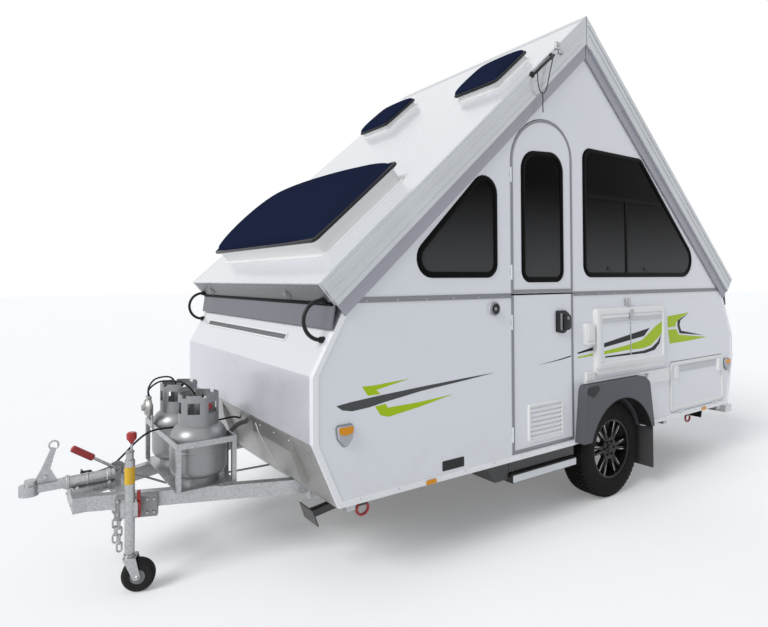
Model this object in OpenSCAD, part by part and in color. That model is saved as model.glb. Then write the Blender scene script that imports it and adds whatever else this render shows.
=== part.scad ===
/* [Body] */
// Outside width across the side walls
body_w = 2000; // [1800:10:2300]
// Length between the foremost and rearmost faces of the walls
body_len = 4120; // [3800:10:4600]
// Height of the lower edge of the walls above the ground
floor_z = 450; // [430:5:500]
// Height of the belt line, where the folding gables meet the lower walls
belt_z = 1440; // [1400:5:1520]
// Thickness of the sandwich walls and gables
wall_t = 30; // [22:1:36]
// Thickness of the floor panel
floor_t = 40; // [25:1:60]
// Setback of the front wall at its lower edge
nose_low_set = 140; // [80:5:200]
// Setback of the front wall at the belt line
nose_top_set = 195; // [180:5:230]
// Setback of the rear wall at its lower edge
tail_low_set = 100; // [60:5:160]
// Setback of the rear wall at the belt line
tail_top_set = 195; // [180:5:230]

/* [Roof] */
// Height of the ridge above the ground
ridge_z = 3309; // [3150:5:3450]
// Height of the upper edge of the roof's eaves
eave_z = 1524; // [1500:2:1560]
// Distance of the eaves behind the foremost face of the body
eave_set = 32; // [10:2:60]
// Thickness of the roof panels
roof_t = 50; // [30:1:60]
// Depth of the roof's edge beams and of its side skirts
skirt_h = 140; // [130:2:160]
// Height of the weather seal below the skirts
seal_h = 71; // [50:1:90]

/* [Door and windows] */
// Distance between the door's rear edge and the wheel arch
door_set = 80; // [60:5:100]
// Width of the door
door_w = 580; // [540:5:620]
// Height of the door's lower edge above the floor line
door_sill = 42; // [30:2:60]
// Distance of the door's crown below the edge of the gable above it
door_drop = 294; // [280:2:340]
// Height of the lower edge of the windows above the ground
window_z = 1562; // [1540:2:1600]

/* [Running gear] */
// Distance of the axle behind the middle of the body
axle_set = 310; // [250:5:360]
// Outside diameter of the tyres
tyre_d = 680; // [600:5:700]
// Width of the tyres
tyre_w = 185; // [155:5:205]
// Diameter of the rims at the bead
rim_d = 404; // [340:2:420]

/* [Drawbar] */
// Reach of the coupling ahead of the front wall
drawbar_reach = 1110; // [1000:10:1300]
// Height of the drawbar and chassis rails
rail_h = 100; // [80:5:110]
// Width of the drawbar and chassis rails
rail_w = 50; // [40:5:60]
// Diameter of the tow ball that the coupling takes
ball_d = 50; // [48:0.4:52]
// Diameter of the gas bottles
bottle_d = 300; // [260:5:320]
// Height of the gas bottles with their collars
bottle_h = 470; // [420:10:520]
// Diameter of the jockey wheel
jockey_d = 160; // [140:5:180]

/* [Fittings] */
// Length of the large roof hatch across the roof
hatch_w = 1560; // [1300:10:1640]
// Length of the large roof hatch up the slope
hatch_s = 700; // [600:10:760]
// Side of the small roof hatches
vent_side = 400; // [340:10:440]
// Length of the side table
table_w = 860; // [760:10:900]
// Height of the side table when it is folded up
table_h = 450; // [400:5:460]
// Length of the corner steadies
steady_len = 350; // [300:5:360]
// Running clearance round doors, lids and gables
gap = 5; // [5:0.5:7]

/* [Hidden] */
$fn = 48;
seat = 0.3;
half_w = body_w / 2;
bumper_reach = 45;
nose_x = drawbar_reach - (drawbar_reach + body_len + bumper_reach) / 2;
tail_x = nose_x + body_len;
ridge_x = nose_x + body_len / 2;
nose_kink_low = floor_z + 320;
nose_kink_high = floor_z + 638;
tail_kink_low = floor_z + 400;
tail_kink_high = floor_z + 590;

// Folding gables: the left one folds over the right one
gable_step = 55;
right_belt_z = belt_z - gable_step;
gable_gap = 15;

// Roof plane, measured from the front eave
eave_x = nose_x + eave_set;
roof_a = atan2(ridge_z - eave_z, ridge_x - eave_x);
ridge_gap = 6;
beam_w = 40;
skirt_t = 20;
seal_t = 10;
roof_half_w = half_w + gap;
function roof_pt(s, d) = [
    eave_x + s * cos(roof_a) + d * sin(roof_a),
    eave_z + s * sin(roof_a) - d * cos(roof_a)];
function ridge_s(d) = (ridge_x - ridge_gap / 2 - eave_x - d * sin(roof_a)) / cos(roof_a);

// Header rails, under the eaves
header_x = roof_pt(beam_w, skirt_h)[0] + seat;
header_w = 70;
header_h = 34;
gable_x = header_x + header_w + 20;

// Upper edge of the gables, which follows the roof
gable_d = roof_t + gable_gap;
function gable_edge(x) = eave_z + (x - eave_x) * tan(roof_a) - gable_d / cos(roof_a);
function gable_reach(z) = eave_x + (z + gable_d / cos(roof_a) - eave_z) / tan(roof_a);

// Running gear
axle_x = ridge_x + axle_set;
hub_z = tyre_d / 2;
tyre_out = half_w - 22;
tyre_in = tyre_out - tyre_w;
arch_r = tyre_d / 2 + 35;
tub_w = half_w - wall_t - tyre_in + 50;
tub_t = 6;
tub_half = sqrt(arch_r * arch_r - (floor_z - hub_z) * (floor_z - hub_z)) + seat;
rail_y = 560;
rail_z = floor_z - rail_h;
stub_d = 40;
hub_face = tyre_out - 62;
stub_len = hub_face + 24 - tyre_in + 60;
arm_len = 330;

// Door
door_x = axle_x - arch_r - door_set - door_w;
door_z = floor_z + door_sill;
door_mid = door_x + door_w / 2;
door_top = gable_edge(door_mid) - door_drop;
arch_rise = 258;
arch_tilt = 0.117;
door_spring = door_top - arch_rise;

// Boot lid at the left rear corner
boot_x = axle_x + arch_r + 350;
boot_w = tail_x - 175 - boot_x;
boot_z = floor_z + 45;
boot_h = 388;

// Side table and the ledge below it
table_x = axle_x - 240;
table_z = floor_z + 434;
table_t = 24;
ledge_t = 22;
ledge_h = 12;
ledge_x = door_x + door_w + 105;
ledge_end = boot_x - 40;

// Wheel flares, just behind the door
flare_reach = 68;
flare_front = door_x + door_w + 2 * gap;
flare_back = axle_x + arch_r + 15;
flare_z = floor_z + 12;
flare_top = floor_z + 385;

// Drawbar rails run from the coupling out to the front crossmember
tip_x = nose_x - drawbar_reach;
bar_front = tip_x + 284;
bar_half = 105;
bar_h = rail_h * 0.75;
bar_z = floor_z - bar_h;
bar_back = nose_x + 200;
bar_slope = (rail_y - 40 - bar_half) / (bar_back - bar_front);
bar_a = atan(bar_slope);
function bar_y(x) = bar_half + bar_slope * (x - bar_front);
function bar_in(x) = bar_y(x) - rail_w / 2 / cos(bar_a) - seat;
function bar_out(x) = bar_y(x) + rail_w / 2 / cos(bar_a);
block_len = 60;
cross_bar_x = tip_x + 420;
cross_bar_w = 60;
cross_bar_h = 50;
head_d = 90;
head_x = tip_x + head_d / 2;
head_z = floor_z + 46;
bottle_x = nose_x - 285;
bottle_y = 200;
tray_t = 4;
bottle_z = floor_z + tray_t;

// Jockey wheel, clamped outside the left drawbar rail
jockey_x = tip_x + 500;
jockey_tube_d = 48;
jockey_inner_d = 41;
jockey_top = 648;
jockey_low = 192;
jockey_pivot_z = floor_z - 45;
jockey_trail = 42;
jockey_axle_z = jockey_d / 2;

// Corner steadies
steady_x = 470;
steady_y = half_w - 280;
steady_z = floor_z - 66;
steady_pin = 12;
steady_dip = 8;

// Entry step, pushed in under the door
step_w = 600;
step_d = 240;
step_h = 50;
step_top = floor_z - 78;
runner_w = 14;

// Roof hatches, measured up the slope and across
hatch_at = 215;
vent_at = 1880;
vent_y = 610;
hatch_frame_h = 90;
vent_frame_h = 40;

// Outline with every corner rounded to its own radius
function unit(v) = v / norm(v);
function corner_arc(a, b, c, r, n) =
    let (u = unit(a - b), w = unit(c - b), half = acos(u * w) / 2)
    let (middle = b + unit(u + w) * (r / sin(half)))
    let (p = b + u * (r / tan(half)) - middle, q = b + w * (r / tan(half)) - middle)
    let (from = atan2(p[1], p[0]), turn = (atan2(q[1], q[0]) - from + 540) % 360 - 180)
    [for (k = [0:n]) middle + r * [cos(from + turn * k / n), sin(from + turn * k / n)]];
function rounded(points, radii, n = 6) =
    let (count = len(points))
    [for (i = [0:count - 1])
        each corner_arc(points[(i + count - 1) % count], points[i], points[(i + 1) % count], radii[i], n)];

// Outline in the length and height directions, extruded across the body
module across(y0, y1) translate([0, y1, 0]) rotate([90, 0, 0]) linear_extrude(y1 - y0) children();
module both_sides() {
    children();
    mirror([0, 1, 0]) children();
}
module both_ends() {
    children();
    translate([2 * ridge_x, 0, 0]) mirror([1, 0, 0]) children();
}
module rounded_block(size, r, h) {
    linear_extrude(h) rounded_rect(size, r);
}
module rounded_rect(size, r) {
    translate([-size[0] / 2 + r, -size[1] / 2]) square([size[0] - 2 * r, size[1]]);
    translate([-size[0] / 2, -size[1] / 2 + r]) square([size[0], size[1] - 2 * r]);
    for (x = [-1, 1], y = [-1, 1]) translate([x * (size[0] / 2 - r), y * (size[1] / 2 - r)]) circle(r);
}
module on_roof(s, y) {
    p = roof_pt(s, 0);
    translate([p[0], y, p[1]]) rotate([0, -roof_a, 0]) children();
}

// Barrel hinges on the outside of the left wall, with the axis along the barrel
hinge_d = 10;
hinge_off = 6;
hinge_leaf = 11;
knuckle = 30;
module hinge_fixed() {
    for (z = [-1.5, 0.5]) translate([0, 0, z * knuckle]) {
        cylinder(d = hinge_d, h = knuckle, $fn = 24);
        translate([-hinge_leaf, hinge_off - 2, 0]) cube([hinge_leaf, 2.5, knuckle]);
    }
}
module hinge_moving() {
    translate([0, 0, -knuckle / 2 + seat]) {
        cylinder(d = hinge_d, h = knuckle - 2 * seat, $fn = 24);
        translate([0, hinge_off - 2, 0]) cube([hinge_leaf, 2.5, knuckle - 2 * seat]);
    }
}
module at_door_hinge(heights) {
    for (z = heights) translate([door_x - gap / 2, -half_w - hinge_off, z]) children();
}
lower_hinges = [floor_z + 160, belt_z - 160];
upper_hinges = [belt_z + 140, door_spring - 120];
module at_boot_hinge() {
    for (x = [150, boot_w - 150]) translate([boot_x + x, -half_w - hinge_off, boot_z - gap / 2])
        rotate([0, -90, 0]) children();
}

// Lower body
nose_line = [
    [nose_x + nose_low_set, floor_z],
    [nose_x, nose_kink_low],
    [nose_x, nose_kink_high],
    [nose_x + nose_top_set, belt_z]];
tail_line = [
    [tail_x - tail_low_set, floor_z],
    [tail_x, tail_kink_low],
    [tail_x, tail_kink_high],
    [tail_x - tail_top_set, belt_z]];
function shifted(points, dx) = [for (p = points) [p[0] + dx, p[1]]];
function reversed(points) = [for (i = [len(points) - 1:-1:0]) points[i]];
function band(points, dx) = concat(points, reversed(shifted(points, dx)));

module side_outline(top) {
    intersection() {
        polygon(concat(nose_line, reversed(tail_line)));
        translate([nose_x, 0]) square([body_len, top]);
    }
}
module arch_hole(r) translate([axle_x, hub_z]) circle(r);
module door_hole(grow) {
    translate([door_x - grow, door_z - grow]) square([door_w + 2 * grow, belt_z]);
}
module boot_outline(grow) {
    translate([boot_x + boot_w / 2, boot_z + boot_h / 2])
        rounded_rect([boot_w + 2 * grow, boot_h + 2 * grow], 30 + grow);
}
module wall_left() color("white") {
    across(-half_w, -half_w + wall_t) difference() {
        side_outline(belt_z);
        arch_hole(arch_r);
        door_hole(gap);
        boot_outline(gap);
    }
    at_door_hinge(lower_hinges) hinge_fixed();
    at_boot_hinge() hinge_fixed();
}
module wall_right() color("white") {
    across(half_w - wall_t, half_w) difference() {
        side_outline(right_belt_z);
        arch_hole(arch_r);
    }
}
module wall_front() color("whitesmoke") {
    across(-half_w + wall_t, half_w - wall_t) polygon(band(nose_line, wall_t));
}
module wall_rear() color("white") {
    across(-half_w + wall_t, half_w - wall_t) polygon(band(tail_line, -wall_t));
}
guard_t = 4;
function guard_x(z) = nose_x + nose_low_set * (nose_kink_low - z) / (nose_kink_low - floor_z) - guard_t;
module stone_guard() color("silver") {
    across(-half_w + 20, half_w - 20)
        polygon(band([nose_line[0], nose_line[1]], -guard_t));
    for (y = [-1, 1])
        translate([0, y * half_w / 2, 0]) across(-half_w / 4, half_w / 4) polygon([
            [guard_x(floor_z + 60), floor_z + 60],
            [guard_x(nose_kink_low - 10), nose_kink_low - 10],
            [guard_x(nose_kink_low - 90) - 26, nose_kink_low - 90],
            [guard_x(floor_z + 60) - 40, floor_z + 60]]);
}
trim_t = 4;
trim_w = 30;
module side_trims(top) {
    intersection() {
        union() {
            polygon(band(nose_line, trim_w));
            polygon(band(tail_line, -trim_w));
            translate([nose_line[0][0], floor_z]) square([flare_front - gap - nose_line[0][0], trim_w]);
            translate([flare_back + gap, floor_z]) square([tail_line[0][0] - flare_back - gap, trim_w]);
        }
        translate([nose_x, floor_z]) square([body_len, top - floor_z]);
    }
}
module body_trims() color("gainsboro") {
    across(-half_w - trim_t, -half_w) side_trims(belt_z);
    across(half_w, half_w + trim_t) side_trims(right_belt_z);
}
belt_h = 28;
belt_front = nose_x + nose_top_set + trim_w + gap;
belt_back = tail_x - tail_top_set - trim_w - gap;
module belt_rails() color("silver") {
    across(-half_w, half_w) {
        translate([header_x, belt_z]) square([header_w, header_h]);
        translate([2 * ridge_x - header_x - header_w, belt_z]) square([header_w, header_h]);
    }
    across(-half_w - trim_t, -half_w) {
        translate([belt_front, belt_z - belt_h / 2]) square([door_x - 2 * gap - belt_front, belt_h]);
        translate([door_x + door_w + 2 * gap, belt_z - belt_h / 2])
            square([belt_back - door_x - door_w - 2 * gap, belt_h]);
    }
    across(half_w, half_w + trim_t) translate([belt_front, right_belt_z - belt_h / 2])
        square([belt_back - belt_front, belt_h]);
}
floor_x = nose_x + nose_low_set + wall_t;
floor_end = tail_x - tail_low_set - wall_t;
module floor_panel() color("dimgray") {
    translate([0, 0, floor_z]) linear_extrude(floor_t) difference() {
        translate([floor_x, -half_w + wall_t]) square([floor_end - floor_x, body_w - 2 * wall_t]);
        both_sides() translate([axle_x - tub_half, -half_w]) square([2 * tub_half, wall_t + tub_w]);
    }
}
module wheel_tubs() color("dimgray") {
    both_sides() across(-half_w + wall_t, -half_w + wall_t + tub_w) difference() {
        translate([axle_x, hub_z]) intersection() {
            circle(arch_r);
            translate([-arch_r, floor_z - hub_z]) square(2 * arch_r);
        }
        translate([axle_x, hub_z]) circle(arch_r - tub_t);
    }
    both_sides() across(-half_w + wall_t + tub_w - tub_t, -half_w + wall_t + tub_w)
        intersection() {
            translate([axle_x, hub_z]) circle(arch_r - tub_t);
            translate([axle_x - arch_r, floor_z]) square(2 * arch_r);
        }
}
module wheel_flares() color("dimgray") {
    both_sides() across(-half_w - flare_reach, -half_w) difference() {
        polygon(rounded([
            [flare_front, flare_z],
            [flare_front + 45, flare_top],
            [flare_back - 125, flare_top],
            [flare_back - 55, flare_top - 45],
            [flare_back, flare_z]], [6, 40, 30, 30, 6], 3));
        arch_hole(arch_r);
    }
}
module mud_flaps() color("black") {
    both_sides() translate([axle_x + arch_r + 20, -half_w - flare_reach + 20, 150])
        cube([6, tyre_w + 40, floor_z - 150]);
}

// Chassis, axle and wheels
cross_at = [200, axle_x - nose_x - 870, axle_x - nose_x + 680, body_len - 220];
cross_h = 60;
outrigger_h = 40;
module chassis_frame() color("gray") {
    inner = rail_y - rail_w / 2 - seat;
    outer = rail_y + rail_w / 2 + seat;
    both_sides() translate([nose_x + cross_at[0], -rail_y - rail_w / 2, rail_z])
        cube([cross_at[3] - cross_at[0] + rail_w, rail_w, rail_h]);
    for (x = cross_at) translate([nose_x + x, -inner, floor_z - cross_h]) cube([rail_w, 2 * inner, cross_h]);
    for (x = cross_at) both_sides() translate([nose_x + x, -half_w + wall_t, floor_z - outrigger_h])
        cube([rail_w, half_w - wall_t - outer, outrigger_h]);
    for (side = [-1, 1]) translate([door_mid + side * (step_w / 2 - 40), -half_w + wall_t, step_top + seat])
        translate([-runner_w / 2, 0, 0]) cube([runner_w, step_d + 60, floor_z - step_top - seat]);
    both_ends() both_sides() translate([nose_x + steady_x, -steady_y, steady_z]) {
        for (side = [-1, 1]) translate([-25, side * 29 - 3, -22]) cube([50, 6, floor_z - steady_z + 22]);
        rotate([90, 0, 0]) cylinder(d = steady_pin, h = 52 - 2 * seat, center = true);
    }
}
module axle() color("gray") {
    translate([axle_x - arm_len - 40, -tyre_in + 60, rail_z - 80]) cube([80, 2 * tyre_in - 120, 80]);
    both_sides() {
        across(-tyre_in + 60, -tyre_in + 110) polygon(rounded([
            [axle_x - arm_len - 45, rail_z - 85],
            [axle_x - arm_len - 45, rail_z],
            [axle_x - arm_len + 60, rail_z],
            [axle_x + 45, hub_z + 45],
            [axle_x + 45, hub_z - 45]], [8, 8, 30, 30, 40]));
        translate([axle_x, -tyre_in + 60, hub_z]) rotate([90, 0, 0]) cylinder(d = 200, h = 50);
        translate([axle_x, -tyre_in + 60, hub_z]) rotate([90, 0, 0]) cylinder(d = stub_d, h = stub_len);
    }
}
module tyre_form() {
    rotate_extrude($fn = 96) polygon(rounded([
        [rim_d / 2, -tyre_w / 2 + 10],
        [tyre_d / 2 - 40, -tyre_w / 2],
        [tyre_d / 2, -tyre_w / 2 + 24],
        [tyre_d / 2, tyre_w / 2 - 24],
        [tyre_d / 2 - 40, tyre_w / 2],
        [rim_d / 2, tyre_w / 2 - 10]], [4, 26, 14, 14, 26, 4], 4));
}
module rim_form() {
    spokes = 6;
    rotate_extrude($fn = 96) polygon([
        [rim_d / 2 - 12, -tyre_w / 2 + 12],
        [rim_d / 2 - seat, -tyre_w / 2 + 12],
        [rim_d / 2 - seat, tyre_w / 2 - 12],
        [rim_d / 2 - 12, tyre_w / 2 - 12]]);
    translate([0, 0, tyre_w / 2 - 62]) difference() {
        union() {
            cylinder(d = 150, h = 40);
            for (k = [0:spokes - 1], side = [-1, 1]) rotate(k * 360 / spokes + side * 9)
                translate([50, -11, 8]) cube([rim_d / 2 - 56, 22, 30]);
        }
        translate([0, 0, -1]) cylinder(r = stub_d / 2 + seat, h = 31);
    }
}
module wheel_place(side) {
    translate([axle_x, side * (tyre_out - tyre_w / 2), hub_z]) rotate([-90 * side, 0, 0]) children();
}
module tyre_left() color("black") wheel_place(-1) tyre_form();
module rim_left() color("darkgray") wheel_place(-1) rim_form();
module tyre_right() color("black") wheel_place(1) tyre_form();
module rim_right() color("darkgray") wheel_place(1) rim_form();

// Drawbar and what it carries
module drawbar() color("silver") {
    both_sides() intersection() {
        translate([bar_front, -bar_half, bar_z]) rotate(-bar_a)
            translate([-rail_h, -rail_w / 2, 0]) cube([2 * drawbar_reach, rail_w, bar_h]);
        translate([bar_front, -half_w, bar_z]) cube([bar_back - bar_front, half_w - 1, bar_h]);
    }
    translate([bar_front - block_len, -bar_half - rail_w / 2, bar_z])
        cube([block_len - seat, 2 * bar_half + rail_w, bar_h]);
    for (x = [cross_bar_x, bottle_x - 100]) translate([0, 0, floor_z - cross_bar_h])
        linear_extrude(cross_bar_h) polygon([
            [x, -bar_in(x)], [x + cross_bar_w, -bar_in(x + cross_bar_w)],
            [x + cross_bar_w, bar_in(x + cross_bar_w)], [x, bar_in(x)]]);
}
shaft_len = 240;
module coupling() color("silver") {
    socket_r = ball_d / 2 + 0.2;
    difference() {
        union() {
            translate([head_x, 0, head_z - 24]) cylinder(d = head_d, h = 48);
            translate([head_x + 8, 0, head_z + 20]) cylinder(d = 58, h = 28);
            translate([head_x, -26, head_z - 14]) cube([180, 52, 40]);
            translate([head_x + 150, 0, head_z + 4]) rotate([0, 90, 0]) cylinder(d = 62, h = shaft_len);
        }
        translate([head_x, 0, head_z - 25]) cylinder(r = socket_r, h = 33);
    }
    translate([head_x + 190, -60, floor_z]) cube([shaft_len - 40, 120, 24]);
    across(-10, 10) polygon(rounded([
        [head_x + 12, head_z + 20],
        [head_x + 128, head_z + 20],
        [head_x + 92, head_z + 92],
        [head_x + 118, head_z + 190],
        [head_x + 96, head_z + 196],
        [head_x + 52, head_z + 92]], [2, 4, 10, 6, 6, 10], 3));
}
module handbrake_lever() color("firebrick") {
    translate([cross_bar_x + 36, 40, floor_z + 64]) rotate([0, -56, 0]) {
        cylinder(d = 16, h = 150);
        translate([0, 0, 145]) cylinder(d = 32, h = 115);
    }
    translate([cross_bar_x + 18, 30, floor_z]) cube([36, 20, 78]);
}
module chain_link(d, length, width) {
    bow = width / 2 - d / 2;
    for (end = [-1, 1]) translate([0, 0, end * (length / 2 - width / 2)]) rotate([90, 0, 0])
        rotate([0, 0, end > 0 ? 0 : 180]) rotate_extrude(angle = 180, $fn = 24)
            translate([bow, 0]) circle(d / 2, $fn = 14);
    for (x = [-bow, bow]) translate([x, 0, -length / 2 + width / 2])
        cylinder(d = d, h = length - width, $fn = 14);
}
chain_d = 10;
chain_pitch = 40;
module safety_chains() color("silver") {
    link = chain_pitch + 2 * chain_d + seat;
    both_sides() for (k = [0:6])
        translate([cross_bar_x + 30, -62, floor_z - cross_bar_h - seat - link / 2 - chain_pitch * k])
            rotate(k % 2 * 90) chain_link(chain_d, link, 34);
}
collar_h = 150;
collar_d = bottle_d * 0.71;
module gas_bottles() color("silver") {
    for (y = [-1, 1]) translate([bottle_x, y * bottle_y, bottle_z]) {
        rotate_extrude() polygon(rounded([
            [0, 30],
            [bottle_d / 2, 30],
            [bottle_d / 2, bottle_h - collar_h - 20],
            [0, bottle_h - collar_h + 10]],
            [1, 50, 85, 1]));
        difference() {
            cylinder(d = collar_d, h = 40);
            translate([0, 0, -1]) cylinder(d = collar_d - 10, h = 42);
        }
        translate([0, 0, bottle_h - collar_h - 30]) difference() {
            cylinder(d = collar_d, h = collar_h + 30);
            translate([0, 0, -1]) cylinder(d = collar_d - 8, h = collar_h + 32);
            translate([0, 0, 110]) rotate([90, 0, 30]) cylinder(d = 62, h = bottle_d, center = true);
            translate([0, -45, 120]) cube([bottle_d, 90, collar_h]);
        }
        translate([0, 0, bottle_h - collar_h - 5]) cylinder(d = 46, h = 95);
    }
}
cradle_t = 8;
cradle_post = 24;
cradle_h = 215;
module gas_tray() color("silver") {
    reach = bottle_d / 2 + seat;
    front = bottle_x - reach - cradle_t;
    side = bottle_y + reach + cradle_t;
    translate([front, -side, floor_z]) cube([2 * (reach + cradle_t), 2 * side, tray_t]);
    both_sides() for (x = [front, bottle_x + reach + cradle_t - cradle_post])
        translate([x, -side, bottle_z + seat]) cube([cradle_post, cradle_post, cradle_h - 2 * seat]);
    for (x = [front, bottle_x + reach]) translate([x, -side, bottle_z + cradle_h])
        cube([cradle_t, 2 * side, 30]);
    both_sides() translate([front + cradle_t + seat, -side, bottle_z + cradle_h])
        cube([2 * reach - 2 * seat, cradle_t, 30]);
}
module along_bar(x) {
    translate([x, -bar_y(x), 0]) rotate(-bar_a) children();
}
clamp_t = 40;
lug_t = 26;
pivot_d = 24;
module jockey_clamp() color("dimgray") along_bar(jockey_x) {
    translate([-80, -rail_w / 2 - clamp_t, rail_z - 10]) cube([200, clamp_t, rail_h + 6]);
    translate([0, -rail_w / 2 - clamp_t, jockey_pivot_z]) rotate([90, 0, 0])
        cylinder(d = pivot_d, h = lug_t - 6);
}
jockey_off = clamp_t + jockey_tube_d / 2 + lug_t + rail_w / 2;
module at_jockey() along_bar(jockey_x) translate([0, -jockey_off, 0]) children();
module jockey_tube() color("silver") at_jockey() difference() {
    union() {
        translate([0, 0, jockey_low]) cylinder(d = jockey_tube_d, h = jockey_top - jockey_low);
        translate([0, 0, jockey_top - 5]) cylinder(d = 36, h = 47);
        translate([8, 0, jockey_top + 36]) cylinder(d = 12, h = 62);
        translate([8, 0, jockey_top + 92]) rotate_extrude() polygon(rounded([
            [0, 0], [10, 0], [22, 14], [22, 26], [13, 44], [0, 44]], [1, 2, 6, 6, 4, 1], 3));
        translate([-40, -14, jockey_pivot_z - 35]) cube([80, 14 + jockey_tube_d / 2 + lug_t - seat, 70]);
    }
    translate([0, 0, jockey_low - 1])
        cylinder(d = jockey_inner_d + 2 * seat, h = jockey_top - jockey_low - 20);
    translate([0, jockey_tube_d / 2 + lug_t, jockey_pivot_z]) rotate([90, 0, 0])
        cylinder(r = pivot_d / 2 + seat, h = lug_t - 5);
}
jockey_inner_low = 186;
module jockey_inner() color("silver") at_jockey() {
    translate([0, 0, jockey_inner_low]) cylinder(d = jockey_inner_d, h = 340);
}
module jockey_fork() color("gainsboro") at_jockey() {
    translate([0, 0, jockey_inner_low - 10]) cylinder(d = 56, h = 10 - seat);
    for (y = [-1, 1]) translate([0, y * 36 - 3, 0]) across(0, 6) polygon(rounded([
        [-26, jockey_inner_low - 10],
        [34, jockey_inner_low - 10],
        [jockey_trail + 18, jockey_axle_z - 10],
        [jockey_trail - 16, jockey_axle_z - 16]], [4, 4, 14, 14]));
    translate([-26, -36, jockey_inner_low - 16]) cube([60, 72, 6]);
    translate([jockey_trail, 39, jockey_axle_z]) rotate([90, 0, 0]) cylinder(d = 14, h = 78);
}
module jockey_wheel() color("black") at_jockey() translate([jockey_trail, 0, jockey_axle_z])
rotate([90, 0, 0]) {
    rotate_extrude($fn = 64) polygon(rounded([
        [7 + seat, -30], [jockey_d / 2 - 14, -30], [jockey_d / 2, -16],
        [jockey_d / 2, 16], [jockey_d / 2 - 14, 30],
        [7 + seat, 30]], [1, 6, 10, 10, 6, 1], 3));
}

// Roof
module roof_band(y0, y1, d0, d1) {
    across(y0, y1) polygon([roof_pt(0, d0), [ridge_x - ridge_gap / 2, roof_pt(ridge_s(d0), d0)[1]],
        [ridge_x - ridge_gap / 2, roof_pt(ridge_s(d1), d1)[1]], roof_pt(0, d1)]);
}
module roof_half() {
    roof_band(-roof_half_w, roof_half_w, 0, roof_t);
    across(-roof_half_w, roof_half_w) polygon([
        roof_pt(0, roof_t), roof_pt(beam_w, roof_t), roof_pt(beam_w, skirt_h), roof_pt(0, skirt_h)]);
}
module roof_front() color("white") difference() {
    roof_half();
    on_roof(hatch_at + hatch_s / 2, 0) translate([0, 0, -roof_t - 1])
        rounded_block([hatch_s - 100, hatch_w - 100], 60, roof_t + 2);
    both_sides() on_roof(vent_at + vent_side / 2, vent_y) translate([0, 0, -roof_t - 1])
        rounded_block([vent_side - 60, vent_side - 60], 30, roof_t + 2);
}
module roof_rear() color("white") translate([2 * ridge_x, 0, 0]) mirror([1, 0, 0]) roof_half();
module roof_skirts() color("lightgray") {
    both_ends() both_sides() roof_band(-roof_half_w - skirt_t, -roof_half_w, 0, skirt_h);
}
module roof_seals() color("gray") {
    both_ends() both_sides() roof_band(-roof_half_w - seal_t, -roof_half_w, skirt_h, skirt_h + seal_h);
}
cap_t = 4;
module ridge_cap() color("lightgray") {
    translate([0, 0, seat]) across(-roof_half_w - skirt_t, roof_half_w + skirt_t) polygon([
        [ridge_x, ridge_z + cap_t],
        [ridge_x + 100, ridge_z + cap_t - 100 * tan(roof_a)],
        [ridge_x + 100, ridge_z - 100 * tan(roof_a)],
        [ridge_x, ridge_z],
        [ridge_x - 40, ridge_z - 40 * tan(roof_a)],
        [ridge_x - 40, ridge_z + cap_t - 40 * tan(roof_a)]]);
}
module hatch_ring(size, wall, h, r) difference() {
    rounded_block(size, r, h);
    translate([0, 0, -1]) rounded_block([size[0] - 2 * wall, size[1] - 2 * wall], r - 10, h + 2);
}
module hatch_frames() color("white") {
    on_roof(hatch_at + hatch_s / 2, 0) {
        translate([0, 0, seat]) hatch_ring([hatch_s - 30, hatch_w - 30], 35, hatch_frame_h - seat, 60);
        translate([0, 0, hatch_frame_h - 8]) hatch_ring([hatch_s + 2, hatch_w + 2], 50, 8, 70);
    }
    both_sides() on_roof(vent_at + vent_side / 2, vent_y) translate([0, 0, seat])
        hatch_ring([vent_side - 10, vent_side - 10], 30, vent_frame_h - seat, 40);
}
module dome(size, r, side_h, crown) {
    half = size[1] / 2;
    bow = (half * half + crown * crown) / (2 * crown);
    intersection() {
        rounded_block(size, r, side_h + crown);
        translate([0, 0, side_h + crown - bow]) rotate([0, 90, 0])
            cylinder(r = bow, h = size[0] + 2, center = true, $fn = 360);
    }
}
module dome_lid(size, r, side_h, crown) difference() {
    dome(size, r, side_h, crown);
    translate([0, 0, -5]) dome([size[0] - 10, size[1] - 10], r - 5, side_h, crown);
}
lid_lift = 0.5;
module hatch_lid_large() color("darkslategray")
    on_roof(hatch_at + hatch_s / 2, 0) translate([0, 0, hatch_frame_h + lid_lift])
        dome_lid([hatch_s, hatch_w], 70, 62, 70);
module vent_lid(y) on_roof(vent_at + vent_side / 2, y) translate([0, 0, vent_frame_h + lid_lift])
    dome_lid([vent_side, vent_side], 40, 30, 20);
module hatch_lid_left() color("darkslategray") vent_lid(-vent_y);
module hatch_lid_right() color("darkslategray") vent_lid(vent_y);

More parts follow.
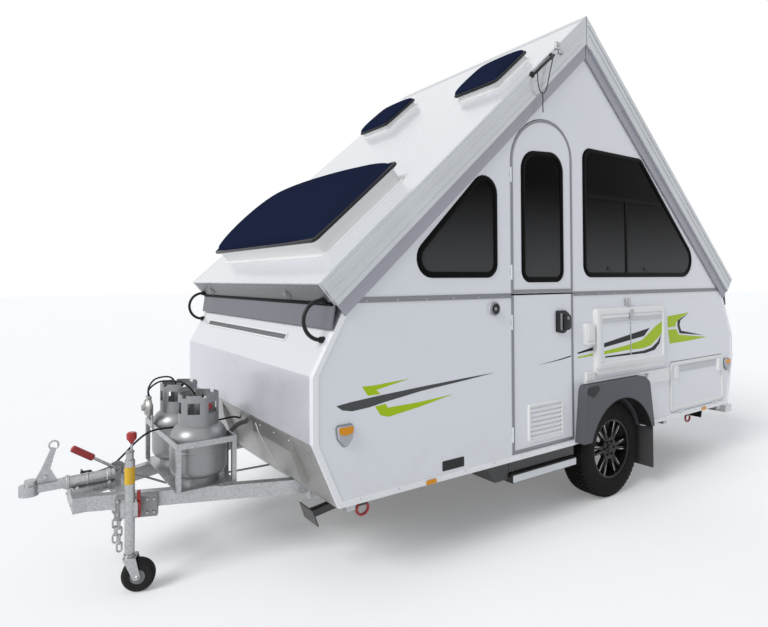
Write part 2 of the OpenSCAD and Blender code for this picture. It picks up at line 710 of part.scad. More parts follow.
// Folding gables, windows and door
module gable_outline(bottom) {
    polygon([
        [gable_x, bottom],
        [gable_x, roof_pt((gable_x - roof_pt(0, gable_d)[0]) / cos(roof_a), gable_d)[1]],
        [ridge_x, roof_pt((ridge_x - roof_pt(0, gable_d)[0]) / cos(roof_a), gable_d)[1]],
        [2 * ridge_x - gable_x, roof_pt((gable_x - roof_pt(0, gable_d)[0]) / cos(roof_a), gable_d)[1]],
        [2 * ridge_x - gable_x, bottom]]);
}
window_set = 130;
window_drop = 218;
window_nose = 287;
rear_top_w = 677;
module front_window(grow = 0) {
    right = door_x - window_set;
    polygon(rounded([
        [gable_reach(window_z + window_nose) - 2 * grow, window_z - grow],
        [right + grow, window_z - grow],
        [right + grow, gable_edge(right) - window_drop + 2 * grow]], [90 + grow, 70 + grow, 90 + grow]));
}
module rear_window(grow = 0) {
    left = door_x + door_w + window_set;
    top = gable_edge(2 * ridge_x - left - rear_top_w) - window_drop - 10;
    polygon(rounded([
        [left - grow, window_z - grow],
        [2 * ridge_x - gable_reach(window_z + window_nose) + 2 * grow, window_z - grow],
        [left + rear_top_w + grow / 2, top + grow],
        [left - grow, top + grow]], [70 + grow, 125 + grow, 60 + grow, 70 + grow]));
}
module door_arch(width, bottom, spring, rise, foot_r = 0) {
    polygon(concat(
        foot_r > 0 ? [for (a = [180:30:270]) [
            door_mid - width / 2 + foot_r + foot_r * cos(a), bottom + foot_r + foot_r * sin(a)]]
            : [[door_mid - width / 2, bottom]],
        foot_r > 0 ? [for (a = [270:30:360]) [
            door_mid + width / 2 - foot_r + foot_r * cos(a), bottom + foot_r + foot_r * sin(a)]]
            : [[door_mid + width / 2, bottom]],
        [for (a = [0:15:180]) [
            door_mid + width / 2 * cos(a),
            spring + arch_tilt * width / 2 * cos(a) + rise * sin(a)]]));
}
module door_window(grow = 0) {
    door_arch(door_w - 208 + 2 * grow, window_z - 30 - grow, door_spring - 90, 140 + grow, 60 + grow);
}
module gable_left() color("white") {
    across(-half_w, -half_w + wall_t) difference() {
        gable_outline(belt_z + gap);
        front_window();
        rear_window();
        door_arch(door_w + 2 * gap, belt_z, door_spring, arch_rise + gap);
    }
    at_door_hinge(upper_hinges) hinge_fixed();
}
module gable_right() color("white") across(half_w - wall_t, half_w) difference() {
    gable_outline(right_belt_z + gap);
    front_window();
    rear_window();
}
glass_t = 8;
module gable_left_glass() color("darkslategray") across(-half_w, -half_w + glass_t) {
    front_window(-seat);
    rear_window(-seat);
}
module gable_right_glass() color("darkslategray") across(half_w - glass_t, half_w) {
    front_window(-seat);
    rear_window(-seat);
}
module door_upper() color("white") {
    across(-half_w, -half_w + wall_t) difference() {
        door_arch(door_w, belt_z + 2 * gap, door_spring, arch_rise);
        door_window();
    }
    at_door_hinge(upper_hinges) hinge_moving();
}
module door_upper_glass() color("darkslategray") across(-half_w, -half_w + glass_t) door_window(-seat);
module door_lower() color("white") {
    across(-half_w, -half_w + wall_t) translate([door_x, door_z]) square([door_w, belt_z - door_z]);
    vent_x = door_x + 150;
    vent_z = floor_z + 105;
    for (k = [0:6]) translate([vent_x, -half_w - 8, vent_z + 28 * k]) cube([door_w - 285, 8, 16]);
    at_door_hinge(lower_hinges) hinge_moving();
}
module door_handle() color("black") {
    across(-half_w - 14, -half_w) translate([door_x + door_w - 110, 1260]) rounded_rect([130, 150], 30);
    across(-half_w - 34, -half_w - 14) translate([door_x + door_w - 110, 1250]) rounded_rect([100, 36], 14);
}

// Side table, boot, step, steadies
module side_table() color("white") {
    across(-half_w - seat - table_t, -half_w - seat)
        translate([table_x + table_w / 2, table_z + table_h / 2]) rounded_rect([table_w, table_h], 24);
}
module boot_lid() color("white") {
    across(-half_w, -half_w + wall_t) boot_outline(0);
    for (x = [60, boot_w - 110]) across(-half_w - 12, -half_w)
        translate([boot_x + x + 25, boot_z + boot_h - 40]) rounded_rect([50, 30], 8);
    at_boot_hinge() hinge_moving();
}
module entry_step() color("black") {
    translate([door_mid - step_w / 2, -half_w - 6, step_top - step_h]) cube([step_w, step_d, step_h]);
}
module steady_form() rotate([0, -steady_dip, 0]) {
    difference() {
        union() {
            rotate([90, 0, 0]) cylinder(d = 36, h = 40, center = true);
            translate([-steady_len, -20, -18]) cube([steady_len, 40, 36]);
        }
        rotate([90, 0, 0]) cylinder(r = steady_pin / 2 + seat, h = 42, center = true);
    }
    translate([-steady_len, 0, 0]) rotate([0, -12, 0]) translate([-3, -75, -45]) cube([6, 150, 90]);
}
module steady_front_left() color("black") translate([nose_x + steady_x, -steady_y, steady_z]) steady_form();
module steady_front_right() color("black") mirror([0, 1, 0]) steady_front_left();
module steady_rear_left() color("black") translate([2 * ridge_x, 0, 0]) mirror([1, 0, 0]) steady_front_left();
module steady_rear_right() color("black") mirror([0, 1, 0]) steady_rear_left();

// Small fittings
module front_vent() color("dimgray") {
    a = atan2(belt_z - nose_kink_high, nose_top_set);
    rise = (belt_z - nose_kink_high) * 0.4;
    translate([nose_x + nose_top_set * 0.4, 0, nose_kink_high + rise]) rotate([0, -a, 0])
        for (k = [-1:1]) translate([k * 9, -540, 0]) cube([6, 1280, 8]);
}
flap_h = 115;
module hinge_flap() color("gray") {
    p = roof_pt(0, skirt_h);
    both_ends() across(-half_w, half_w) polygon([
        [p[0], p[1] - seat],
        [p[0] - 8, p[1] - seat],
        [p[0] - 24, p[1] - flap_h],
        [p[0] - 16, p[1] - flap_h]]);
}
conduit_d = 18;
module roof_conduits() color("black") {
    p = roof_pt(0, skirt_h - 30);
    bow = 95;
    lead = p[0] - nose_x - 80;
    both_sides() translate([nose_x + 80, -half_w + 60, p[1] - bow]) {
        rotate([90, 0, 0]) rotate([0, 0, 90])
            rotate_extrude(angle = 180, $fn = 32) translate([bow, 0]) circle(conduit_d / 2, $fn = 16);
        translate([0, 0, bow]) rotate([0, 90, 0]) cylinder(d = conduit_d, h = lead - conduit_d / 2, $fn = 16);
    }
}
module side_lamps() color("orange") {
    both_sides() for (x = [nose_x + 170, tail_x - 118]) across(-half_w - 22, -half_w) polygon(rounded([
        [x - 45, 840], [x + 45, 840], [x + 36, 780], [x, 735], [x - 36, 780]], [12, 12, 12, 14, 12], 3));
    both_sides() for (x = [nose_x + 700, tail_x - 520]) across(-half_w - trim_t - 6, -half_w - trim_t)
        translate([x, floor_z + trim_w / 2]) rounded_rect([70, 24], 8);
}
module tail_lamps() color("firebrick") both_sides()
    translate([tail_x, -half_w + 110, tail_kink_low + 20]) cube([24, 90, 150]);
bumper_h = 60;
bumper_z = floor_z - 90;
bumper_back = 60;
module rear_bumper() color("gray") {
    arm_x = nose_x + cross_at[3] + rail_w + seat;
    translate([tail_x - bumper_back, -half_w + 120, bumper_z])
        cube([bumper_back + bumper_reach, body_w - 240, bumper_h]);
    both_sides() translate([arm_x, -rail_y - 20, bumper_z])
        cube([tail_x - bumper_back - seat - arm_x, 40, bumper_h]);
}
module wall_fittings() color("gainsboro") {
    across(-half_w - 12, -half_w) translate([door_x - 153, belt_z - 74]) circle(34);
    across(-half_w - 30, -half_w) translate([door_x + door_w + 153, belt_z - 274])
        rounded_rect([90, 146], 14);
    across(-half_w - ledge_t, -half_w) {
        translate([ledge_x, flare_top + gap]) square([ledge_end - ledge_x, ledge_h]);
        translate([flare_back + gap, flare_top - 75])
            square([ledge_end - flare_back - gap, 75 + gap + ledge_h / 2]);
    }
    across(half_w, half_w + 14) for (z = [floor_z + 250, belt_z - 310])
        translate([door_x - 135, z]) rounded_rect([480, 240], 20);
}

chassis_frame();
drawbar();
coupling();
handbrake_lever();
safety_chains();
jockey_clamp();
gas_bottles();
gas_tray();
floor_panel();
wall_left();
wall_right();
wall_front();
stone_guard();
wall_rear();
body_trims();
belt_rails();
wheel_tubs();
wheel_flares();
mud_flaps();
axle();
roof_front();
roof_rear();
roof_skirts();
roof_seals();
ridge_cap();
hatch_frames();
front_vent();
hinge_flap();
roof_conduits();
side_lamps();
tail_lamps();
rear_bumper();
wall_fittings();
gable_left();
gable_left_glass();
gable_right();
gable_right_glass();
door_upper();
door_upper_glass();
door_lower();
door_handle();
side_table();
boot_lid();
hatch_lid_large();
hatch_lid_left();
hatch_lid_right();
tyre_left();
rim_left();
tyre_right();
rim_right();
jockey_tube();
jockey_inner();
jockey_fork();
jockey_wheel();
steady_front_left();
steady_front_right();
steady_rear_left();
steady_rear_right();
entry_step();
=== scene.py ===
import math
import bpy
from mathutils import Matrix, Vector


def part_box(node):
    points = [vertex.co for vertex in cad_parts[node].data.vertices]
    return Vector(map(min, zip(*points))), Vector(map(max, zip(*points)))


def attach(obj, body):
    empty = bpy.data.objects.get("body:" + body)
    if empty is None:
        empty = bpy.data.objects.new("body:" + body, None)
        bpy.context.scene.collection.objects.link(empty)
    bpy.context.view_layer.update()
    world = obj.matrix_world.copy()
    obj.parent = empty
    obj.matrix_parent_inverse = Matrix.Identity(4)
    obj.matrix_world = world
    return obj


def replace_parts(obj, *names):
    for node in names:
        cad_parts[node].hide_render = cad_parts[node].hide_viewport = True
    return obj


bl_info = {
    "name": "A-frame camper dressing",
    "version": (1, 0, 0),
    "blender": (4, 5, 0),
    "location": "3D View > Sidebar > Camper",
    "description": "Dresses the packed A-frame camper with its finishes, seals, trims and fittings",
    "category": "Object",
}

import bmesh
import bpy
from mathutils import Matrix, Vector

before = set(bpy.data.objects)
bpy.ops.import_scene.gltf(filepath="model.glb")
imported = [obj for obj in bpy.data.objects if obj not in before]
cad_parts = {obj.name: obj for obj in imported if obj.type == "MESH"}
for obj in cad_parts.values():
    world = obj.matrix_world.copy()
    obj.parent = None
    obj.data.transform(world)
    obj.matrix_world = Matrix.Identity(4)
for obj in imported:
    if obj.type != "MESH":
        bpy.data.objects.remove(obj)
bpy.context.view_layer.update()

# Datum planes and lines of the trailer, in metres
SIDE = -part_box("gable_left_glass")[0].y
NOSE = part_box("wall_front")[0].x
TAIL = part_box("wall_rear")[1].x
RIDGE_X = (NOSE + TAIL) / 2
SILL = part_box("wall_left")[0].z
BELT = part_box("wall_left")[1].z
FOLD = SILL + 0.638
BELT_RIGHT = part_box("wall_right")[1].z
EAVE = Vector((NOSE + 0.032, 0, 1.524))
RIDGE = Vector((RIDGE_X, 0, 3.309))
SLOPE = (RIDGE - EAVE).normalized()
PITCH = math.atan2(SLOPE.z, SLOPE.x)
ROOF_OUT = Vector((-SLOPE.z, 0, SLOPE.x))
SKIRT_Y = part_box("roof_skirts")[1].y
AXLE = Vector((NOSE + 2.37, 0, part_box("tyre_left")[1].z / 2))
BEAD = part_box("rim_left")[1].z - AXLE.z
TYRE_OUT = -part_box("tyre_left")[0].y
HALF_TYRE = 0.0925
STEADY_DIP = math.radians(8)
FLOOR_REACH = 60
CAMERA_TURN = (34.867, 1.0009, -0.26)
CAMERA_SHIFT = (-0.0029, -0.0582)
SEEN_RAYS = ("Is Camera Ray", "Is Glossy Ray", "Is Transmission Ray")


# Shader maths
class Value:
    """An output socket that can be used in Python sums."""

    def __init__(self, kit, socket):
        self.kit = kit
        self.socket = socket

    def sum(self, operation, *others):
        return self.kit.node("ShaderNodeMath", {"operation": operation}, [self, *others])

    def __add__(self, other):
        return self.sum("ADD", other)

    def __mul__(self, other):
        return self.sum("MULTIPLY", other)

    def __sub__(self, other):
        return self.sum("SUBTRACT", other)

    def __rsub__(self, other):
        return self.kit.node("ShaderNodeMath", {"operation": "SUBTRACT"}, [other, self])

    __radd__ = __add__
    __rmul__ = __mul__

    def above(self, level, soft):
        """1 where the value is over a level, with a soft edge."""
        return self.kit.node("ShaderNodeMapRange", {"interpolation_type": "SMOOTHSTEP"},
                             [self, level - soft, level + soft, 0.0, 1.0])

    def below(self, level, soft):
        return 1 - self.above(level, soft)

    def spread(self, low, high):
        """A 0 to 1 value stretched over a range."""
        return self * (high - low) + low


class Finish:
    """One material: a Principled surface and the nodes that feed it."""

    def __init__(self, name, color, rough, metal=0.0, **plain):
        self.material = bpy.data.materials.new(name)
        self.material.use_nodes = True
        self.tree = self.material.node_tree
        self.surface = self.tree.nodes["Principled BSDF"]
        self.feed("Base Color", color)
        self.feed("Roughness", rough)
        self.feed("Metallic", metal)
        for key, value in plain.items():
            self.feed(key.replace("_", " ").title().replace("Ior ", "IOR "), value)
        self.place = self.node("ShaderNodeTexCoord", out="Object")

    def feed(self, name, value):
        socket = self.surface.inputs[name]
        if isinstance(value, Value):
            self.tree.links.new(value.socket, socket)
        else:
            socket.default_value = value

    def node(self, kind, settings=None, values=(), out=0):
        made = self.tree.nodes.new(kind)
        for key, value in (settings or {}).items():
            setattr(made, key, value)
        pairs = values.items() if isinstance(values, dict) else enumerate(values)
        for key, value in pairs:
            if isinstance(value, Value):
                self.tree.links.new(value.socket, made.inputs[key])
            else:
                made.inputs[key].default_value = value
        return Value(self, made.outputs[out])

    def axes(self):
        split = self.tree.nodes.new("ShaderNodeSeparateXYZ")
        self.tree.links.new(self.place.socket, split.inputs[0])
        return [Value(self, o) for o in split.outputs]

    def stretched(self, scale):
        return self.node("ShaderNodeMapping", {}, {"Vector": self.place, "Scale": scale})

    def noise(self, scale, detail=3.0, rough=0.5, place=None):
        return self.node("ShaderNodeTexNoise", {}, {"Vector": place or self.place, "Scale": scale,
                                                    "Detail": detail, "Roughness": rough})

    def cells(self, scale, out="Distance"):
        return self.node("ShaderNodeTexVoronoi", {}, {"Vector": self.place, "Scale": scale}, out)

    def from_axle(self):
        """Distance from the line of the road wheels' axle."""
        x, _, z = self.axes()
        along, up = x - AXLE.x, z - AXLE.z
        return (along * along + up * up).sum("SQRT")

    def tint(self, factor, low, high):
        return self.node("ShaderNodeMix", {"data_type": "RGBA"}, {0: factor, 6: low, 7: high}, 2)

    def bump(self, height, strength=0.2, depth=0.001):
        normal = self.node("ShaderNodeBump", {}, {"Strength": strength, "Distance": depth, "Height": height})
        self.feed("Normal", normal)
        return self


def shade(color, factor, lift=0.0):
    """A colour made darker or paler."""
    return tuple(min(1, c * factor + lift) for c in color[:3]) + (1,)


# Finishes
def gloss_skin(name, color, rough=0.2, grime=0.12):
    """Painted sandwich skin: faint ripple, a little road film near the lower edges."""
    kit = Finish(name, color, rough, coat_weight=0.25, coat_roughness=0.08)
    broad = kit.noise(1.3, 4)
    height = kit.axes()[2]
    film = height.below(0.62, 0.2) * kit.noise(9, 6, 0.65).above(0.5, 0.22) * grime
    clean = kit.tint(broad, shade(color, 0.965), color)
    kit.feed("Base Color", kit.tint(film, clean, (0.42, 0.39, 0.34, 1)))
    kit.feed("Roughness", broad.spread(rough - 0.05, rough + 0.07) + film * 0.4)
    return kit.bump(kit.noise(0.9, 0), 0.05, 0.004).material


def zinc(name, color, rough, scale=150):
    """Hot-dip zinc: spangles of uneven brightness, dull streaks."""
    kit = Finish(name, color, rough, 0.85)
    spangle = kit.cells(scale, out="Color")
    grey = kit.node("ShaderNodeSeparateColor", {}, [spangle])
    stain = kit.noise(7, 6, 0.7)
    level = grey * 0.55 + stain * 0.45
    kit.feed("Base Color", kit.tint(level, shade(color, 0.72), shade(color, 1.2)))
    kit.feed("Roughness", level.spread(rough - 0.14, rough + 0.2))
    return kit.bump(grey + kit.noise(130, 3) * 0.7, 0.1, 0.0006).material


def mill_sheet(name, color, rough):
    """Rolled aluminium sheet with a faint grain and handling marks."""
    kit = Finish(name, color, rough, 0.9)
    grain = kit.noise(3, 4, 0.6, kit.stretched((1.5, 1.5, 60)))
    smear = kit.noise(4, 5, 0.65)
    scuff = kit.noise(38, 4, 0.7).above(0.62, 0.05)
    kit.feed("Base Color", kit.tint(smear, shade(color, 0.66), shade(color, 1.2)))
    kit.feed("Roughness", grain * 0.2 + smear * 0.18 + (rough - 0.16) + scuff * 0.08)
    return kit.bump(grain * 0.5 + smear, 0.08, 0.002).material


def anodised(name, color, rough=0.3):
    """Satin extrusion with fine drawn lines and dull wear."""
    kit = Finish(name, color, rough, 0.55)
    lines = kit.noise(25, 3, 0.6, kit.stretched((2, 2, 2)))
    wear = kit.noise(3, 5, 0.6)
    kit.feed("Base Color", kit.tint(wear, shade(color, 0.86), shade(color, 1.06)))
    kit.feed("Roughness", lines * 0.18 + wear * 0.1 + (rough - 0.12))
    return kit.bump(lines, 0.05, 0.0005).material


def moulded(name, color, rough=0.5, grain=420, depth=0.0005, fade=0.25, gloss=0.5):
    """Grained plastic, paler where it has weathered."""
    kit = Finish(name, color, rough, 0.0, specular_ior_level=gloss)
    leather = kit.cells(grain)
    chalk = kit.noise(6, 5, 0.65)
    kit.feed("Base Color", kit.tint(chalk * fade, color, shade(color, 1.5, 0.03)))
    kit.feed("Roughness", chalk.spread(rough - 0.1, rough + 0.14))
    return kit.bump(leather + kit.noise(grain * 2, 2) * 0.4, 0.16, depth).material


def rubber(name, color, rough, dust, gloss):
    """Black rubber with a dry bloom."""
    kit = Finish(name, color, rough, 0.0, specular_ior_level=gloss)
    bloom = kit.noise(12, 5, 0.7)
    kit.feed("Base Color", kit.tint(bloom * dust, color, (0.085, 0.082, 0.078, 1)))
    kit.feed("Roughness", bloom.spread(rough - 0.1, rough + 0.15))
    return kit.bump(kit.noise(320, 3), 0.12, 0.0006).material


def tinted(name, color, low, gloss):
    """Dark acrylic: nearly black, with a painted reflection that makes it paler towards the sill, and faint dust."""
    kit = Finish(name, color, 0.06, alpha=0.998, specular_ior_level=gloss)
    dust = kit.noise(14, 5, 0.7)
    # Painted reflection: below about 1.82 m the base colour blends into the paler low colour, standing in for the
    # bright ground mirrored in the pane
    kit.feed("Base Color", kit.tint(kit.axes()[2].below(1.82, 0.36), color, low))
    kit.feed("Roughness", dust.spread(0.03, 0.12))
    return kit.bump(kit.noise(2.2, 2), 0.04, 0.004).material


def satin_paint(name, color, rough=0.36):
    """Sprayed steel with a few chips through to the metal."""
    kit = Finish(name, color, rough, 0.0, coat_weight=0.2)
    peel = kit.noise(180, 2)
    chip = kit.noise(34, 5, 0.7).above(0.70, 0.02) * 0.35
    broad = kit.noise(5, 4)
    kit.feed("Base Color", kit.tint(chip, kit.tint(broad, shade(color, 0.82), color), (0.25, 0.24, 0.23, 1)))
    kit.feed("Roughness", broad.spread(rough - 0.08, rough + 0.12) + chip * 0.2)
    return kit.bump(peel - chip, 0.1, 0.0006).material


def lens(name, color):
    """Moulded lamp lens with fluted optics behind a clear face."""
    kit = Finish(name, color, 0.12, coat_weight=0.12, coat_roughness=0.04, specular_ior_level=0.2)
    x, y, z = kit.axes()
    flute = (x * 900 + y * 900).sum("SINE") * (z * 900).sum("SINE")
    kit.feed("Base Color", kit.tint(flute * 0.5 + 0.5, shade(color, 0.6), shade(color, 1.25)))
    return kit.bump(flute, 0.25, 0.001).material


def vinyl(name, color):
    """Printed film with a soft gloss."""
    kit = Finish(name, color, 0.3, 0.0, coat_weight=0.03, specular_ior_level=0.15)
    broad = kit.noise(8, 4)
    kit.feed("Base Color", kit.tint(broad, shade(color, 0.9), color))
    kit.feed("Roughness", broad.spread(0.24, 0.36))
    return kit.bump(kit.noise(260, 2), 0.05, 0.0004).material


def wheel_black(name):
    """Gloss black alloy with brake dust towards the hub."""
    kit = Finish(name, (0.012, 0.012, 0.013, 1), 0.26, 0.2, specular_ior_level=0.3)
    dust = kit.from_axle().below(0.13, 0.05) * kit.noise(40, 5, 0.7)
    kit.feed("Base Color", kit.tint(dust * 0.35, (0.012, 0.012, 0.013, 1), (0.10, 0.09, 0.08, 1)))
    kit.feed("Roughness", dust * 0.4 + 0.24)
    return kit.bump(kit.noise(220, 2), 0.05, 0.0003).material


def machined(name):
    """Diamond-turned alloy with fine rings left by the lathe."""
    kit = Finish(name, (0.66, 0.66, 0.67, 1), 0.22, 1.0)
    turned = (kit.from_axle() * 9000).sum("SINE")
    cloud = kit.noise(30, 3)
    kit.feed("Base Color", kit.tint(cloud, (0.5, 0.5, 0.51, 1), (0.75, 0.75, 0.76, 1)))
    kit.feed("Roughness", cloud * 0.14 + 0.14)
    return kit.bump(turned, 0.06, 0.0002).material


def front_skin(name, color, line):
    """Front wall: mottled pale sheet up to a fold line and gloss white above it."""
    kit = Finish(name, color, 0.28, 0.0, coat_weight=0.2, coat_roughness=0.1)
    upper = kit.axes()[2].above(line, 0.004)
    mottle = kit.noise(3.2, 1, 0.5)
    broad = kit.noise(2.1, 3)
    sheet = kit.tint(mottle, (0.55, 0.55, 0.595, 1), (0.63, 0.63, 0.67, 1))
    kit.feed("Base Color", kit.tint(upper, sheet, kit.tint(broad, shade(color, 0.97), color)))
    kit.feed("Roughness", mottle * 0.25 + 0.16 + upper * 0.04)
    kit.feed("Metallic", 0.25 - upper * 0.25)
    return kit.bump(kit.noise(1.6, 0), 0.05, 0.004).material


def ply(name):
    """Sealed underfloor ply, weathered dark."""
    kit = Finish(name, (0.07, 0.066, 0.06, 1), 0.7)
    grain = kit.noise(6, 5, 0.6, kit.stretched((1, 14, 14)))
    kit.feed("Base Color", kit.tint(grain, (0.05, 0.047, 0.043, 1), (0.13, 0.12, 0.105, 1)))
    return kit.bump(grain, 0.2, 0.001).material


DOME_BLUE = (0.012, 0.017, 0.042, 1)

# Each finish: its maker and the maker's values, where a word is one of the user's colours
FINISH_TABLE = {
    "wall_white": (gloss_skin, "wall"),
    "roof_white": (gloss_skin, "roof", 0.26, 0),
    "nose_white": (front_skin, "roof", FOLD),
    "fitting_white": (moulded, (0.80, 0.80, 0.79, 1), 0.32, 700, 0.0002, 0.1),
    "trim_white": (gloss_skin, (0.91, 0.91, 0.92, 1), 0.3, 0.14),
    "zinc": (zinc, (0.47, 0.48, 0.49, 1), 0.34),
    "zinc_dark": (zinc, (0.3, 0.3, 0.31, 1), 0.5),
    "bottle_zinc": (anodised, (0.31, 0.315, 0.325, 1), 0.34),
    "guard_sheet": (mill_sheet, (0.45, 0.445, 0.43, 1), 0.38),
    "skirt_alloy": (anodised, (0.60, 0.62, 0.64, 1)),
    "seal_alloy": (anodised, (0.355, 0.355, 0.40, 1), 0.45),
    "trim_alloy": (anodised, (0.26, 0.265, 0.285, 1), 0.38),
    # painted shade: the grey of the bands where shade falls under the table's top rail and the boot lid's top edge
    "shade_alloy": (anodised, (0.52, 0.53, 0.55, 1), 0.4),
    "flap_grey": (anodised, (0.17, 0.18, 0.205, 1), 0.4),
    "belt_alloy": (anodised, (0.24, 0.245, 0.26, 1), 0.42),
    # painted shade: the dark grey of the strip on the eaves' downward faces
    "fascia_alloy": (anodised, (0.25, 0.255, 0.265, 1), 0.45),
    "flare_plastic": (moulded, (0.094, 0.095, 0.106, 1), 0.5, 420, 0.0005, 0.25, 0.25),
    "black_plastic": (moulded, (0.013, 0.013, 0.014, 1), 0.36, 600, 0.0003, 0.1, 0.28),
    "hose_grey": (moulded, (0.16, 0.16, 0.165, 1), 0.45, 500, 0.0003, 0.2),
    "rubber": (rubber, (0.011, 0.011, 0.012, 1), 0.6, 0.2, 0.12),
    "flap_rubber": (rubber, (0.07, 0.07, 0.072, 1), 0.6, 0.3, 0.12),
    "tread": (rubber, (0.006, 0.006, 0.0065, 1), 0.7, 0.12, 0.1),
    "seal_rubber": (rubber, (0.003, 0.003, 0.0034, 1), 0.36, 0.03, 0.04),
    # glass: the second colour is a painted reflection, the paler tone the pane takes towards its sill
    "glass": (tinted, (0.0006, 0.0006, 0.0008, 1), (0.078, 0.078, 0.079, 1), 0.03),
    "dome_glass": (tinted, DOME_BLUE, DOME_BLUE, 0.0),
    "black_paint": (satin_paint, (0.018, 0.018, 0.019, 1)),
    "red_paint": (satin_paint, (0.42, 0.012, 0.014, 1), 0.25),
    "yellow_paint": (satin_paint, (0.78, 0.46, 0.01, 1), 0.35),
    "brass": (zinc, (0.62, 0.42, 0.16, 1), 0.3, 90),
    "amber_lens": (lens, (1.0, 0.33, 0.004, 1)),
    "red_lens": (lens, (0.42, 0.012, 0.012, 1)),
    "clear_lens": (lens, (0.50, 0.51, 0.53, 1)),
    "green_vinyl": (vinyl, "flash"),
    "charcoal_vinyl": (vinyl, "streak"),
    "black_vinyl": (vinyl, (0.012, 0.012, 0.013, 1)),
    "alloy_wheel": (wheel_black,),
    "machined": (machined,),
    "ply": (ply,),
}
FINISHES = {}


def finish(name):
    """The finish of that name, made once."""
    if name not in FINISHES:
        colours = bpy.context.scene.camper_colours
        maker, *values = FINISH_TABLE[name]
        FINISHES[name] = maker(name, *(tuple(getattr(colours, v)) if isinstance(v, str) else v for v in values))
    return FINISHES[name]


def by_name(table):
    """Turns a table of words under a heading into the heading of each word."""
    return {word: heading for heading, words in table.items() for word in words.split()}


NODE_FINISH = by_name({
    "zinc": "chassis_frame drawbar coupling handbrake_lever safety_chains gas_tray rear_bumper jockey_tube"
            " jockey_inner jockey_fork",
    "zinc_dark": "jockey_clamp axle",
    "bottle_zinc": "gas_bottles",
    "ply": "floor_panel",
    "wall_white": "wall_left wall_right wall_rear gable_left gable_right door_upper door_lower boot_lid",
    "nose_white": "wall_front",
    "guard_sheet": "stone_guard",
    "trim_white": "body_trims",
    "belt_alloy": "belt_rails",
    "flare_plastic": "wheel_tubs wheel_flares front_vent",
    "flap_rubber": "mud_flaps",
    "roof_white": "roof_front roof_rear",
    "skirt_alloy": "roof_skirts ridge_cap",
    "seal_alloy": "roof_seals",
    "fitting_white": "hatch_frames wall_fittings side_table",
    "flap_grey": "hinge_flap",
    "black_plastic": "roof_conduits door_handle",
    "clear_lens": "side_lamps",
    "red_lens": "tail_lamps",
    "glass": "gable_left_glass gable_right_glass door_upper_glass",
    "dome_glass": "hatch_lid_large hatch_lid_left hatch_lid_right",
    "tread": "tyre_left tyre_right",
    "alloy_wheel": "rim_left rim_right",
    "rubber": "jockey_wheel",
    "black_paint": "steady_front_left steady_front_right steady_rear_left steady_rear_right entry_step",
})


# Mesh making
def mesh_object(name, verts, faces, look, smooth):
    """A mesh object with its faces outwards; smooth is the angle past which an edge stays sharp."""
    mesh = bpy.data.meshes.new(name)
    mesh.from_pydata([tuple(v) for v in verts], [], faces)
    work = bmesh.new()
    work.from_mesh(mesh)
    bmesh.ops.remove_doubles(work, verts=work.verts, dist=1e-6)
    bmesh.ops.recalc_face_normals(work, faces=work.faces)
    work.to_mesh(mesh)
    work.free()
    mesh.materials.append(finish(look))
    if smooth:
        mesh.polygons.foreach_set("use_smooth", [True] * len(mesh.polygons))
        mesh.set_sharp_from_angle(angle=math.radians(smooth))
    thing = bpy.data.objects.new(name, mesh)
    bpy.context.scene.collection.objects.link(thing)
    return thing


def carried(thing, look, body):
    """Puts a finished piece on its body."""
    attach(thing, body)
    return thing


def turns(count, extra=0):
    """Equal angles round a circle; one extra closes it."""
    return [2 * math.pi * k / count for k in range(count + extra)]


